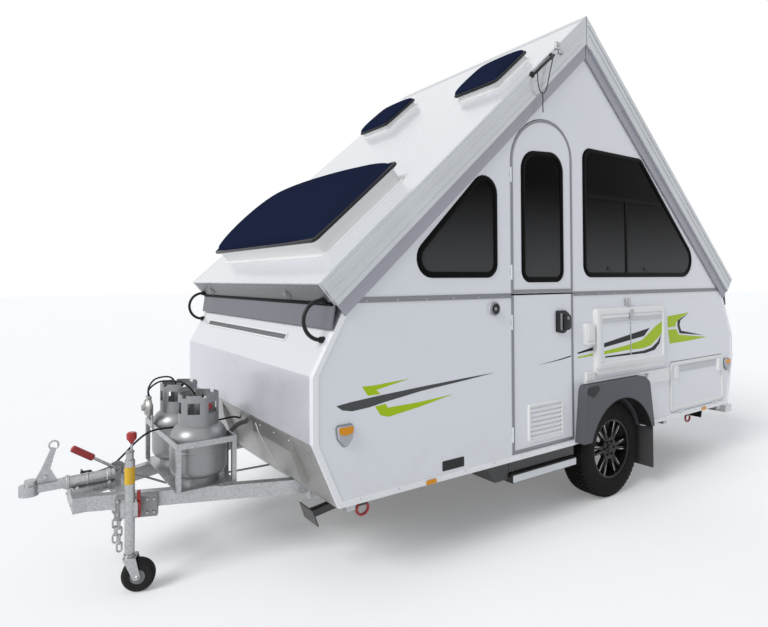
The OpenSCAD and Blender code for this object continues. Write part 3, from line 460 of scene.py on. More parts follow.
class Shape:
    """Collects the vertices and faces of one piece."""

    def __init__(self):
        self.verts = []
        self.faces = []

    def add(self, verts, faces):
        base = len(self.verts)
        self.verts += [Vector(v) for v in verts]
        self.faces += [tuple(base + i for i in f) for f in faces]
        return self

    def loft(self, rings, caps=True, loop=False):
        """Skins a row of rings that have the same number of points."""
        count = len(rings[0])
        base = len(self.verts)
        for ring in rings:
            self.verts += [Vector(p) for p in ring]
        steps = len(rings) if loop else len(rings) - 1
        for r in range(steps):
            a = base + r * count
            b = base + (r + 1) % len(rings) * count
            for i in range(count):
                j = (i + 1) % count
                self.faces.append((a + i, a + j, b + j, b + i))
        if caps:
            self.faces.append(tuple(base + i for i in reversed(range(count))))
            self.faces.append(tuple(base + (len(rings) - 1) * count + i for i in range(count)))
        return self

    def block(self, low, high, edge=0.0):
        """A box with its edges broken by small chamfers."""
        work = bmesh.new()
        bmesh.ops.create_cube(work, size=1)
        low, high = Vector(map(min, low, high)), Vector(map(max, low, high))
        for v in work.verts:
            v.co = Vector((low[k] + (v.co[k] + 0.5) * (high[k] - low[k]) for k in range(3)))
        if edge:
            bmesh.ops.bevel(work, geom=work.edges[:], offset=edge, segments=2, affect="EDGES", profile=0.5)
        return self.take(work)

    def take(self, work):
        work.verts.index_update()
        verts = [v.co.copy() for v in work.verts]
        faces = [[v.index for v in f.verts] for f in work.faces]
        work.free()
        return self.add(verts, faces)

    def tube(self, path, radius, sides=12, caps=True):
        """A round bar along a path of points."""
        rings = []
        path = [Vector(p) for p in path]
        side = None
        for i, p in enumerate(path):
            ahead = (path[min(i + 1, len(path) - 1)] - path[max(i - 1, 0)]).normalized()
            if side is None:
                side = ahead.orthogonal().normalized()
            side = (side - ahead * side.dot(ahead)).normalized()
            other = ahead.cross(side)
            r = radius[i] if isinstance(radius, (list, tuple)) else radius
            rings.append([p + (side * math.cos(a) + other * math.sin(a)) * r
                          for a in turns(sides)])
        return self.loft(rings, caps)

    def turned(self, profile, origin, axis, sides=32):
        """A lathe form: profile points are (distance along the axis, radius)."""
        axis = Vector(axis).normalized()
        u = axis.orthogonal().normalized()
        v = axis.cross(u)
        origin = Vector(origin)
        rings = []
        for along, r in profile:
            rings.append([origin + axis * along + (u * math.cos(a) + v * math.sin(a)) * max(r, 1e-5)
                          for a in turns(sides)])
        return self.loft(rings)

    def flat(self, outline, low, high, edge=0.0):
        """An outline given as points in length and height, made solid between two distances across."""
        work = bmesh.new()
        low, high = sorted((low, high))
        near = [work.verts.new((x, low, z)) for x, z in outline]
        work.faces.new(near)
        made = bmesh.ops.extrude_face_region(work, geom=work.faces[:])
        for v in made["geom"]:
            if isinstance(v, bmesh.types.BMVert):
                v.co.y = high
        if edge:
            rim = [e for e in work.edges if all(abs(v.co.y - low) < 1e-7 for v in e.verts)]
            bmesh.ops.bevel(work, geom=rim, offset=edge, segments=2, affect="EDGES", profile=0.5)
        return self.take(work)

    def sweep(self, path, profile, closed=True, outward=Vector((0, -1, 0))):
        """A profile of (outwards in the plane, out of the plane) points along a plane path."""
        rings = []
        path = [Vector(p) for p in path]
        count = len(path)
        for i, p in enumerate(path):
            before = path[i - 1] if (closed or i > 0) else None
            after = path[(i + 1) % count] if (closed or i < count - 1) else None
            into = (p - before).normalized() if before is not None else (after - p).normalized()
            away = (after - p).normalized() if after is not None else into
            along = (into + away).normalized()
            side = along.cross(outward).normalized()
            reach = 1 / max(0.35, along.dot(into))
            rings.append([p + side * (u * reach) + outward * v for u, v in profile])
        return self.loft(rings, not closed, closed)

    def make(self, name, look, body="trailer", smooth=0, slot=None):
        return carried(mesh_object(name, self.verts, self.faces, look, smooth), look, body)


def rounded(points, radii, steps=6):
    """A closed outline with each corner rounded to its own radius."""
    made = []
    count = len(points)
    for i in range(count):
        a, b, c = (Vector(points[(i + k) % count]) for k in (-1, 0, 1))
        u, w = (a - b).normalized(), (c - b).normalized()
        half = math.acos(max(-1, min(1, u.dot(w)))) / 2
        r = radii[i] if isinstance(radii, (list, tuple)) else radii
        middle = b + (u + w).normalized() * (r / math.sin(half))
        p = b + u * (r / math.tan(half)) - middle
        q = b + w * (r / math.tan(half)) - middle
        start = math.atan2(p.y, p.x)
        turn = (math.atan2(q.y, q.x) - start + 3 * math.pi) % (2 * math.pi) - math.pi
        made += [(middle.x + r * math.cos(start + turn * k / steps), middle.y + r * math.sin(start + turn * k / steps))
                 for k in range(steps + 1)]
    return made


def box_outline(x, z, w, h, r=0.01, steps=5):
    return rounded([(x - w / 2, z - h / 2), (x + w / 2, z - h / 2), (x + w / 2, z + h / 2), (x - w / 2, z + h / 2)],
                   r, steps)


def frame_rim(shape, x, z, w, h, r, face, profile):
    """A rounded frame on the left side: profile points are (distance in from the edge, height off the face)."""
    return shape.loft([at_side(box_outline(x, z, w - 2 * inset, h - 2 * inset, max(r - inset, 0.004)), face - lift)
                       for inset, lift in profile], False, True)


def smooth_path(points, steps=6):
    """A Catmull-Rom curve through the points."""
    points = [Vector(p) for p in points]
    ends = [points[0] * 2 - points[1]] + points + [points[-1] * 2 - points[-2]]
    made = []
    for i in range(1, len(ends) - 2):
        a, b, c, d = ends[i - 1:i + 3]
        for k in range(steps):
            t = k / steps
            made.append(0.5 * (2 * b + (c - a) * t + (2 * a - 5 * b + 4 * c - d) * t * t
                               + (3 * b - a - 3 * c + d) * t ** 3))
    return made + [points[-1]]


def along_axes(base, axes, steps):
    """A point that lies so many steps from another along each of three axes."""
    return base + axes[0] * steps[0] + axes[1] * steps[1] + axes[2] * steps[2]


def on_roof(s, y, lift=0.0, rear=False):
    """A point on the roof: distance up the slope from the eave, distance across, height above the skin."""
    p = EAVE + SLOPE * s + ROOF_OUT * lift
    return Vector((2 * RIDGE_X - p.x if rear else p.x, y, p.z))


def roof_matrix(s, y, lift=0.0):
    """Places a form whose length runs up the slope and whose height stands off the roof."""
    turn = Matrix(((SLOPE.x, 0, ROOF_OUT.x, 0), (0, 1, 0, 0), (SLOPE.z, 0, ROOF_OUT.z, 0), (0, 0, 0, 1)))
    return Matrix.Translation(on_roof(s, y, lift)) @ turn


# Geometry Nodes
def tree(name, inputs):
    """An empty Geometry Nodes tree with named inputs, and its input node."""
    made = bpy.data.node_groups.new(name, "GeometryNodeTree")
    made.interface.new_socket("Geometry", in_out="INPUT", socket_type="NodeSocketGeometry")
    for label, kind, default in (*inputs, ("Look", "NodeSocketMaterial", None)):
        socket = made.interface.new_socket(label, in_out="INPUT", socket_type=kind)
        if default is not None:
            socket.default_value = default
    made.interface.new_socket("Geometry", in_out="OUTPUT", socket_type="NodeSocketGeometry")
    return made, made.nodes.new("NodeGroupInput")


def grow(made, kind, settings=None, values=None):
    node = made.nodes.new(kind)
    for key, value in (settings or {}).items():
        setattr(node, key, value)
    for key, value in (values or {}).items():
        if isinstance(value, bpy.types.NodeSocket):
            made.links.new(value, node.inputs[key])
        else:
            node.inputs[key].default_value = value
    return node


def end_tree(made, start, copies, place=None):
    """Makes a tree's copies real, moves them where a place is given, and sets their material."""
    shape = grow(made, "GeometryNodeRealizeInstances", None, {0: copies.outputs[0]})
    if place is not None:
        shape = grow(made, "GeometryNodeTransform", None, {0: shape.outputs[0], "Translation": place})
    look = grow(made, "GeometryNodeSetMaterial", None,
                {"Geometry": shape.outputs[0], "Material": start.outputs["Look"]})
    made.links.new(look.outputs[0], made.nodes.new("NodeGroupOutput").inputs[0])
    return made


def stud_tree():
    """Low domed heads on every vertex, turned to the vertex's facing."""
    made, start = tree("stud_rows", [("Head radius", "NodeSocketFloat", 0.005),
                                     ("Head height", "NodeSocketFloat", 0.002), ("Sides", "NodeSocketInt", 10)])
    foot = grow(made, "GeometryNodeMeshCone", {"fill_type": "NGON"}, {
        "Vertices": start.outputs["Sides"], "Radius Bottom": start.outputs["Head radius"],
        "Depth": start.outputs["Head height"], "Side Segments": 1})
    top = grow(made, "ShaderNodeMath", {"operation": "MULTIPLY"}, {0: start.outputs["Head radius"], 1: 0.62})
    made.links.new(top.outputs[0], foot.inputs["Radius Top"])
    facing = grow(made, "GeometryNodeInputNamedAttribute", {"data_type": "FLOAT_VECTOR"}, {"Name": "facing"})
    turn = grow(made, "FunctionNodeAlignRotationToVector", {"axis": "Z"}, {"Vector": facing.outputs[0]})
    return end_tree(made, start, grow(made, "GeometryNodeInstanceOnPoints", None, {
        "Points": start.outputs["Geometry"], "Instance": foot.outputs[0], "Rotation": turn.outputs[0]}))


def ring_tree():
    """Copies the given geometry round an axis along Y, then moves it to its centre."""
    made, start = tree("ring_of_copies", [("Count", "NodeSocketInt", 12), ("Centre", "NodeSocketVector", None)])
    line = grow(made, "GeometryNodeMeshLine", {"mode": "OFFSET"},
                {"Count": start.outputs["Count"], "Offset": (0, 0, 0)})
    index = made.nodes.new("GeometryNodeInputIndex")
    step = grow(made, "ShaderNodeMath", {"operation": "DIVIDE"}, {0: index.outputs[0], 1: start.outputs["Count"]})
    angle = grow(made, "ShaderNodeMath", {"operation": "MULTIPLY"}, {0: step.outputs[0], 1: 2 * math.pi})
    turn = grow(made, "ShaderNodeCombineXYZ", None, {"Y": angle.outputs[0]})
    spots = grow(made, "GeometryNodeInstanceOnPoints", None, {
        "Points": line.outputs[0], "Instance": start.outputs["Geometry"], "Rotation": turn.outputs[0]})
    return end_tree(made, start, spots, start.outputs["Centre"])


def row_tree():
    """Copies the given geometry in a straight row."""
    made, start = tree("straight_row", [("Count", "NodeSocketInt", 8), ("Step", "NodeSocketVector", None)])
    line = grow(made, "GeometryNodeMeshLine", {"mode": "OFFSET"}, {
        "Count": start.outputs["Count"], "Offset": start.outputs["Step"]})
    return end_tree(made, start, grow(made, "GeometryNodeInstanceOnPoints", None, {
        "Points": line.outputs[0], "Instance": start.outputs["Geometry"]}))


TREES = {}


def run_tree(base, maker, settings):
    """Turns an object's mesh into what a tree makes of it."""
    if maker not in TREES:
        TREES[maker] = maker()
    work = base.modifiers.new("nodes", "NODES")
    work.node_group = TREES[maker]
    for item in work.node_group.interface.items_tree:
        if item.in_out == "INPUT" and item.name in settings:
            work[item.identifier] = settings[item.name]
    bpy.context.view_layer.update()
    result = bpy.data.meshes.new_from_object(base.evaluated_get(bpy.context.evaluated_depsgraph_get()))
    base.modifiers.remove(work)
    old = base.data
    base.data = result
    bpy.data.meshes.remove(old)


def studs(name, spots, look, body, radius, height, sides=10):
    """Screws, rivets or bolt heads at (point, facing) pairs, as one mesh."""
    mesh = bpy.data.meshes.new(name)
    mesh.from_pydata([tuple(p) for p, _ in spots], [], [])
    facing = mesh.attributes.new("facing", "FLOAT_VECTOR", "POINT")
    facing.data.foreach_set("vector", [c for _, f in spots for c in f])
    base = bpy.data.objects.new(name, mesh)
    bpy.context.scene.collection.objects.link(base)
    run_tree(base, stud_tree, {"Head radius": radius, "Head height": height, "Sides": sides, "Look": finish(look)})
    carried(base, look, body)


def ring_of(name, shape, count, centre, look, body):
    """One form copied round an axle, as one mesh."""
    base = mesh_object(name, shape.verts, shape.faces, look, 0)
    run_tree(base, ring_tree, {"Count": count, "Centre": centre, "Look": finish(look)})
    carried(base, look, body)


def row_of(name, shape, count, step, look, body="trailer"):
    """One form copied in a row, as one mesh."""
    base = mesh_object(name, shape.verts, shape.faces, look, 0)
    run_tree(base, row_tree, {"Count": count, "Step": step, "Look": finish(look)})
    carried(base, look, body)


LEFT = Vector((0, -1, 0))
RIGHT = Vector((0, 1, 0))
UP = Vector((0, 0, 1))

# Outlines on the sides, in length and height
WINDOW_Z = 1.562
DOOR_X = NOSE + 1.335
DOOR_W = 0.58
DOOR_MID = DOOR_X + DOOR_W / 2
DOOR_TOP = 2.5455
DOOR_RISE = 0.258
DOOR_SPRING = DOOR_TOP - DOOR_RISE
FRONT_WINDOW = rounded([(NOSE + 0.5, WINDOW_Z), (NOSE + 1.205, WINDOW_Z), (NOSE + 1.205, WINDOW_Z + 0.69)],
                       [0.09, 0.07, 0.09], 8)
REAR_WINDOW = rounded([(NOSE + 2.045, WINDOW_Z), (NOSE + 3.6204, WINDOW_Z), (NOSE + 2.722, 2.4117),
                       (NOSE + 2.045, 2.4117)], [0.07, 0.125, 0.06, 0.07], 8)


def door_arch(width, bottom, spring, rise, steps=24):
    """Points up one side of the door, over its arch and down the other side."""
    half, lean = width / 2, 0.117 * width / 2
    arch = [math.pi * k / steps for k in range(steps + 1)]
    return ([(DOOR_MID + half, bottom)]
            + [(DOOR_MID + half * math.cos(a), spring + lean * math.cos(a) + rise * math.sin(a)) for a in arch]
            + [(DOOR_MID - half, bottom)])


def at_side(outline, across):
    return [Vector((x, across, z)) for x, z in outline]


def window_trim(name, outline, body, right=False):
    """A rubber seal round a pane."""
    sizes = bpy.context.scene.camper_sizes
    w, h = sizes.seal_width, sizes.seal_height
    y = SIDE if right else -SIDE
    out = RIGHT if right else LEFT
    path = at_side(reversed(outline) if right else outline, y)
    seal = [(-w * 0.55, -0.0004), (-w * 0.55, h * 0.45), (-w * 0.4, h * 0.9), (-w * 0.1, h), (w * 0.2, h * 0.85),
            (w * 0.38, h * 0.4), (w * 0.45, -0.0004)]
    Shape().sweep(path, seal, True, out).make(name + "_seal", "seal_rubber", body, 50)


def colour(name, description, default):
    return bpy.props.FloatVectorProperty(name=name, description=description, subtype="COLOR", size=4, min=0, max=1,
                                         default=default)


def length(name, description, default, low, high):
    return bpy.props.FloatProperty(name=name, description=description, default=default, min=low, max=high,
                                   unit="LENGTH")


class CAMPER_PG_colours(bpy.types.PropertyGroup):
    """Colours that a user would change."""
    wall: colour("Wall", "Paint of the side walls and gables", (0.81, 0.815, 0.855, 1))
    roof: colour("Roof", "Paint of the roof halves", (0.67, 0.678, 0.70, 1))
    flash: colour("Flash", "Bright flashes on the sides", (0.44, 0.62, 0.01, 1))
    streak: colour("Streak", "Dark streaks on the sides", (0.082, 0.085, 0.088, 1))


class CAMPER_PG_sizes(bpy.types.PropertyGroup):
    """Sizes that a user would change."""
    seal_width: length("Seal width", "Width of the window seals", 0.034, 0.01, 0.06)
    seal_height: length("Seal height", "How far the window seals stand proud", 0.009, 0.002, 0.02)
    edging: length("Door edging", "Width of the metal edging on the door", 0.018, 0.008, 0.03)
    screw: length("Screw head", "Radius of the trim screws", 0.0045, 0.002, 0.01)
    tread_depth: length("Tread depth", "Depth of the grooves in the tyres", 0.008, 0.002, 0.012)
    tread_pitches: bpy.props.IntProperty(
        name="Tread pitches", description="Rows of blocks round each tyre", default=60, min=30, max=90)


class CAMPER_PG_stage(bpy.types.PropertyGroup):
    """Camera and light."""
    lens: bpy.props.FloatProperty(
        name="Lens", description="Focal length of the camera", default=26.54, min=10, max=120, unit="CAMERA")
    eye: bpy.props.FloatVectorProperty(
        name="Eye", description="Place of the camera", default=(-2.7509, -3.3595, 1.5446), subtype="TRANSLATION",
        unit="LENGTH")
    sun: bpy.props.FloatProperty(name="Sun", description="Strength of the key light", default=1.95, min=0, max=10)
    sky: bpy.props.FloatProperty(
        name="Sky", description="Strength of the even light all round", default=0.5, min=0, max=3)


class CAMPER_OT_stage(bpy.types.Operator):
    """Puts up the floor, the light and the camera"""
    bl_idname = "camper.stage"
    bl_label = "Stage"

    def execute(self, context):
        settings = context.scene.camper_stage
        context.scene.view_settings.view_transform = "Standard"
        data = bpy.data.cameras.new("camera")
        data.sensor_width = 36
        data.lens = settings.lens
        data.shift_x, data.shift_y = CAMERA_SHIFT
        data.clip_end = 200
        camera = bpy.data.objects.new("camera", data)
        yaw, pitch, roll = map(math.radians, CAMERA_TURN)
        look = Vector((math.sin(yaw) * math.cos(pitch), math.cos(yaw) * math.cos(pitch), math.sin(pitch)))
        turn = look.to_track_quat("-Z", "Y").to_matrix() @ Matrix.Rotation(roll, 3, "Z")
        camera.matrix_world = Matrix.Translation(settings.eye) @ turn.to_4x4()
        context.scene.collection.objects.link(camera)
        context.scene.camera = camera
        sky = bpy.data.worlds.new("studio")
        context.scene.world = sky
        sky.use_nodes = True
        nodes, links = sky.node_tree.nodes, sky.node_tree.links
        dim = nodes["Background"]
        dim.inputs["Color"].default_value = (0.89, 0.94, 1.0, 1)
        dim.inputs["Strength"].default_value = settings.sky
        bright = nodes.new("ShaderNodeBackground")
        bright.inputs["Color"].default_value = (1, 1, 1, 1)
        path = nodes.new("ShaderNodeLightPath")
        seen = path.outputs[SEEN_RAYS[0]]
        for ray in SEEN_RAYS[1:]:
            more = nodes.new("ShaderNodeMath")
            more.operation = "MAXIMUM"
            links.new(seen, more.inputs[0])
            links.new(path.outputs[ray], more.inputs[1])
            seen = more.outputs[0]
        both = nodes.new("ShaderNodeMixShader")
        links.new(seen, both.inputs[0])
        links.new(dim.outputs[0], both.inputs[1])
        links.new(bright.outputs[0], both.inputs[2])
        links.new(both.outputs[0], nodes["World Output"].inputs["Surface"])
        key = bpy.data.lights.new("key", "SUN")
        key.energy = settings.sun
        key.angle = math.radians(28)
        lamp = bpy.data.objects.new("key", key)
        lamp.rotation_mode = "QUATERNION"
        lamp.rotation_quaternion = Vector((0.8, 0.12, -0.6)).to_track_quat("-Z", "Y")
        context.scene.collection.objects.link(lamp)
        mesh = bpy.data.meshes.new("floor")
        mesh.from_pydata([(x * FLOOR_REACH, y * FLOOR_REACH, 0) for x, y in ((-1, -1), (1, -1), (1, 1), (-1, 1))], [],
                         [(0, 1, 2, 3)])
        floor = bpy.data.objects.new("floor", mesh)
        context.scene.collection.objects.link(floor)
        kit = Finish("floor_pale", (0.93, 0.93, 0.93, 1), 0.9)
        kit.feed("Base Color", kit.tint(kit.noise(0.8, 3), (0.90, 0.90, 0.90, 1), (0.94, 0.94, 0.94, 1)))
        glow = kit.node("ShaderNodeEmission", {}, {"Color": (1, 1, 1, 1), "Strength": 0.17})
        none = kit.node("ShaderNodeEmission", {}, {"Color": (0, 0, 0, 1), "Strength": 0.0})
        seen = kit.node("ShaderNodeLightPath", out=SEEN_RAYS[0])
        for ray in SEEN_RAYS[1:]:
            seen = seen.sum("MAXIMUM", kit.node("ShaderNodeLightPath", out=ray))
        lift = kit.node("ShaderNodeMixShader", {}, [seen, none, glow])
        surface = Value(kit, kit.surface.outputs[0])
        total = kit.node("ShaderNodeAddShader", {}, [surface, lift])
        kit.tree.links.new(total.socket, kit.tree.nodes["Material Output"].inputs["Surface"])
        mesh.materials.append(kit.material)
        return {"FINISHED"}


class CAMPER_OT_finishes(bpy.types.Operator):
    """Gives every CAD node its finish"""
    bl_idname = "camper.finishes"
    bl_label = "Finishes"

    def execute(self, context):
        for name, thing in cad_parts.items():
            thing.data.materials.clear()
            thing.data.materials.append(finish(NODE_FINISH[name]))
        return {"FINISHED"}


STREAK = [(0.127, 0.938), (0.203, 0.947), (0.376, 0.959), (0.645, 0.973), (0.945, 0.986), (1.188, 0.994),
          (0.945, 0.973), (0.645, 0.951), (0.414, 0.923), (0.313, 0.908), (0.215, 0.902), (0.159, 0.914)]
FLASHES = [
    [(0.274, 1.015), (0.338, 1.013), (0.568, 1.024), (0.357, 0.989), (0.382, 0.966), (0.307, 0.966), (0.288, 0.991)],
    [(0.348, 0.908), (0.414, 0.913), (0.424, 0.892), (0.63, 0.894), (0.866, 0.907), (0.63, 0.869), (0.433, 0.845),
     (0.382, 0.859)],
    [(1.963, 1.020), (2.127, 1.032), (2.127, 1.017), (1.962, 1.012)],
    [(3.072, 1.243), (3.394, 1.263), (3.265, 1.222), (3.205, 1.197), (3.186, 1.159), (3.075, 1.155)],
    [(3.078, 1.139), (3.2, 1.138), (3.238, 1.091), (3.686, 1.047), (3.378, 1.034), (3.101, 1.03)]]
WALL_LINES = [
    [(1.962, 1.050), (2.127, 1.074), (2.127, 1.052), (2.05, 1.047), (1.962, 1.040)],
    [(3.388, 1.255), (3.264, 1.204), (3.251, 1.165), (3.275, 1.121), (3.627, 1.065), (3.249, 1.101), (3.218, 1.162),
     (3.22, 1.204)]]
DOOR_LINE = [(1.565, 1.004), (1.70, 1.0145), (1.80, 1.025), (1.890, 1.037), (1.890, 1.029), (1.80, 1.018),
             (1.70, 1.0105)]
TABLE_FLASH = [(2.215, 1.042), (2.482, 1.064), (2.677, 1.089), (2.756, 1.128), (2.853, 1.180), (2.962, 1.217),
               (2.962, 1.138), (2.883, 1.087), (2.785, 1.041), (2.691, 1.028), (2.481, 1.029), (2.215, 1.020)]
TABLE_LINES = [
    [(2.215, 1.096), (2.483, 1.133), (2.780, 1.172), (2.701, 1.116), (2.482, 1.094), (2.215, 1.068)],
    [(2.221, 1.006), (2.48, 1.007), (2.691, 1.010), (2.801, 1.024), (2.882, 1.062), (2.933, 1.113), (2.911, 1.05),
     (2.841, 1.004), (2.714, 0.990), (2.48, 0.993), (2.227, 0.996)]]


def film(name, outlines, look, face, body="trailer"):
    """Thin film of those outlines on a face of the left side."""
    shape = Shape()
    for outline in outlines:
        shape.flat([(NOSE + x, z) for x, z in outline], face - 0.0006, face + 0.0001)
    shape.make(name, look, body, 0, "white_plastic" if body == "side_table" else None)


class CAMPER_OT_stripes(bpy.types.Operator):
    """Lays the flashes and streaks on the left side"""
    bl_idname = "camper.stripes"
    bl_label = "Stripes"

    def execute(self, context):
        film("streak_front", [STREAK], "charcoal_vinyl", -SIDE)
        film("flash_wall", FLASHES, "green_vinyl", -SIDE)
        film("lines_wall", WALL_LINES, "black_vinyl", -SIDE)
        film("line_door", [DOOR_LINE], "black_vinyl", -SIDE, "door_lower")
        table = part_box("side_table")[0].y - 0.0021
        film("flash_table", [TABLE_FLASH], "green_vinyl", table, "side_table")
        film("lines_table", TABLE_LINES, "black_vinyl", table, "side_table")
        return {"FINISHED"}


class CAMPER_OT_windows(bpy.types.Operator):
    """Fits seals, rails and catches to the windows"""
    bl_idname = "camper.windows"
    bl_label = "Windows"

    def execute(self, context):
        window_trim("window_front_left", FRONT_WINDOW, "gable_left")
        window_trim("window_rear_left", REAR_WINDOW, "gable_left")
        window_trim("window_front_right", FRONT_WINDOW, "gable_right", True)
        window_trim("window_rear_right", REAR_WINDOW, "gable_right", True)
        low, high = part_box("door_upper_glass")
        door = rounded([(low.x, low.z), (high.x, low.z), (high.x, high.z + 0.004), (low.x, high.z - 0.022)],
                       [0.06, 0.06, 0.105, 0.115], 8)
        pane = Shape()
        pane.flat(door, -SIDE - 0.0012, -SIDE + 0.0008)
        pane.flat(box_outline((low.x + high.x) / 2, (low.z + high.z) / 2 - 0.03, high.x - low.x - 0.06,
                              high.z - low.z - 0.3, 0.03), -SIDE + 0.0007, high.y)
        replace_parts(pane.make("door_window_pane", "glass", "door_upper"), "door_upper_glass")
        window_trim("window_door", door, "door_upper")
        for side, body in ((-1, "gable_left"), (1, "gable_right")):
            face = side * SIDE
            near, far = face + side * 0.006, face - side * 0.001
            rail = Shape()
            rail.block((NOSE + 2.05, near, 2.085), (NOSE + 2.98, far, 2.112), 0.002)
            rail.block((NOSE + 2.515, near, WINDOW_Z), (NOSE + 2.541, far, 2.085), 0.002)
            rail.make(f"window_bars_{body}", "seal_rubber", body)
            latch = Shape()
            for x in (2.30, 2.75):
                latch.block((NOSE + x, face + side * 0.011, 1.60), (NOSE + x + 0.05, far, 1.618), 0.003)
            latch.make(f"window_pulls_{body}", "black_plastic", body)
        return {"FINISHED"}


class CAMPER_OT_door(bpy.types.Operator):
    """Edges the two door leaves and fits the handle, lock and vent"""
    bl_idname = "camper.door"
    bl_label = "Door"

    def execute(self, context):
        w = context.scene.camper_sizes.edging
        edge = [(-w, -0.0004), (-w, 0.0022), (-w + 0.003, 0.0042), (-0.004, 0.0042), (-0.0005, 0.0025),
                (-0.0005, -0.0004)]
        top = at_side(door_arch(DOOR_W, BELT + 0.0105, DOOR_SPRING, DOOR_RISE), -SIDE)
        Shape().sweep(top, edge, False, LEFT).make("door_edging_upper", "trim_alloy", "door_upper", 50)
        low = SILL + 0.042
        u = [(DOOR_X, BELT - 0.0005), (DOOR_X, low), (DOOR_X + DOOR_W, low), (DOOR_X + DOOR_W, BELT - 0.0005)]
        Shape().sweep(at_side(u, -SIDE), edge, False, LEFT).make(
            "door_edging_lower", "trim_alloy", "door_lower", 50)
        Shape().block((DOOR_X + 0.02, -SIDE - 0.006, BELT + 0.013),
                      (DOOR_X + DOOR_W - 0.02, -SIDE + 0.0005, BELT + 0.034), 0.002).make(
            "door_meeting_rail", "trim_alloy", "door_upper")
        vent = Shape()
        ring = box_outline(DOOR_X + 0.2975, 0.653, 0.318, 0.222, 0.012)
        vent.sweep(at_side(ring, -SIDE), [(-0.012, -0.0004), (-0.012, 0.010), (-0.004, 0.013), (0.004, 0.009),
                                          (0.006, -0.0004)], True, LEFT)
        vent.make("door_vent_frame", "fitting_white", "door_lower", 40)
        slat = Shape()
        x0, x1 = DOOR_X + 0.1495, DOOR_X + 0.4455
        slat.add([(x0, -SIDE, 0.553), (x1, -SIDE, 0.553), (x1, -SIDE - 0.0115, 0.556),
                  (x0, -SIDE - 0.0115, 0.556), (x0, -SIDE, 0.575), (x1, -SIDE, 0.575)],
                 [(0, 1, 2, 3), (3, 2, 5, 4), (0, 4, 5, 1), (0, 3, 4), (1, 5, 2)])
        row_of("door_vent_slats", slat, 7, (0, 0, 0.028), "fitting_white", "door_lower")
        handle = Shape()
        cx, cz = DOOR_X + DOOR_W - 0.1105, 1.26
        outline = rounded([(cx - 0.064, cz - 0.062), (cx, cz - 0.0748), (cx + 0.0648, cz - 0.035),
                           (cx + 0.0648, cz + 0.045), (cx + 0.02, cz + 0.0748), (cx - 0.064, cz + 0.0748)],
                          [0.012, 0.045, 0.05, 0.05, 0.04, 0.012])
        handle.flat(outline, -SIDE - 0.020, -SIDE + 0.0002, 0.005)
        handle.flat(box_outline(cx + 0.018, cz, 0.076, 0.102, 0.03), -SIDE - 0.0338, -SIDE - 0.0195, 0.004)
        handle = handle.make("door_handle_body", "black_plastic", "door_lower", 40)
        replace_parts(handle, "door_handle")
        grip = Shape()
        grip.flat(box_outline(cx - 0.036, cz + 0.004, 0.014, 0.108, 0.006), -SIDE - 0.028, -SIDE - 0.0195, 0.003)
        grip.turned([(0, 0.011), (0.004, 0.011), (0.006, 0.009), (0.006, 0.002), (0.003, 0.0015)],
                    (cx + 0.018, -SIDE - 0.0334, cz + 0.026), LEFT, 20)
        grip.make("door_handle_grip", "trim_alloy", "door_lower", 40)
        return {"FINISHED"}


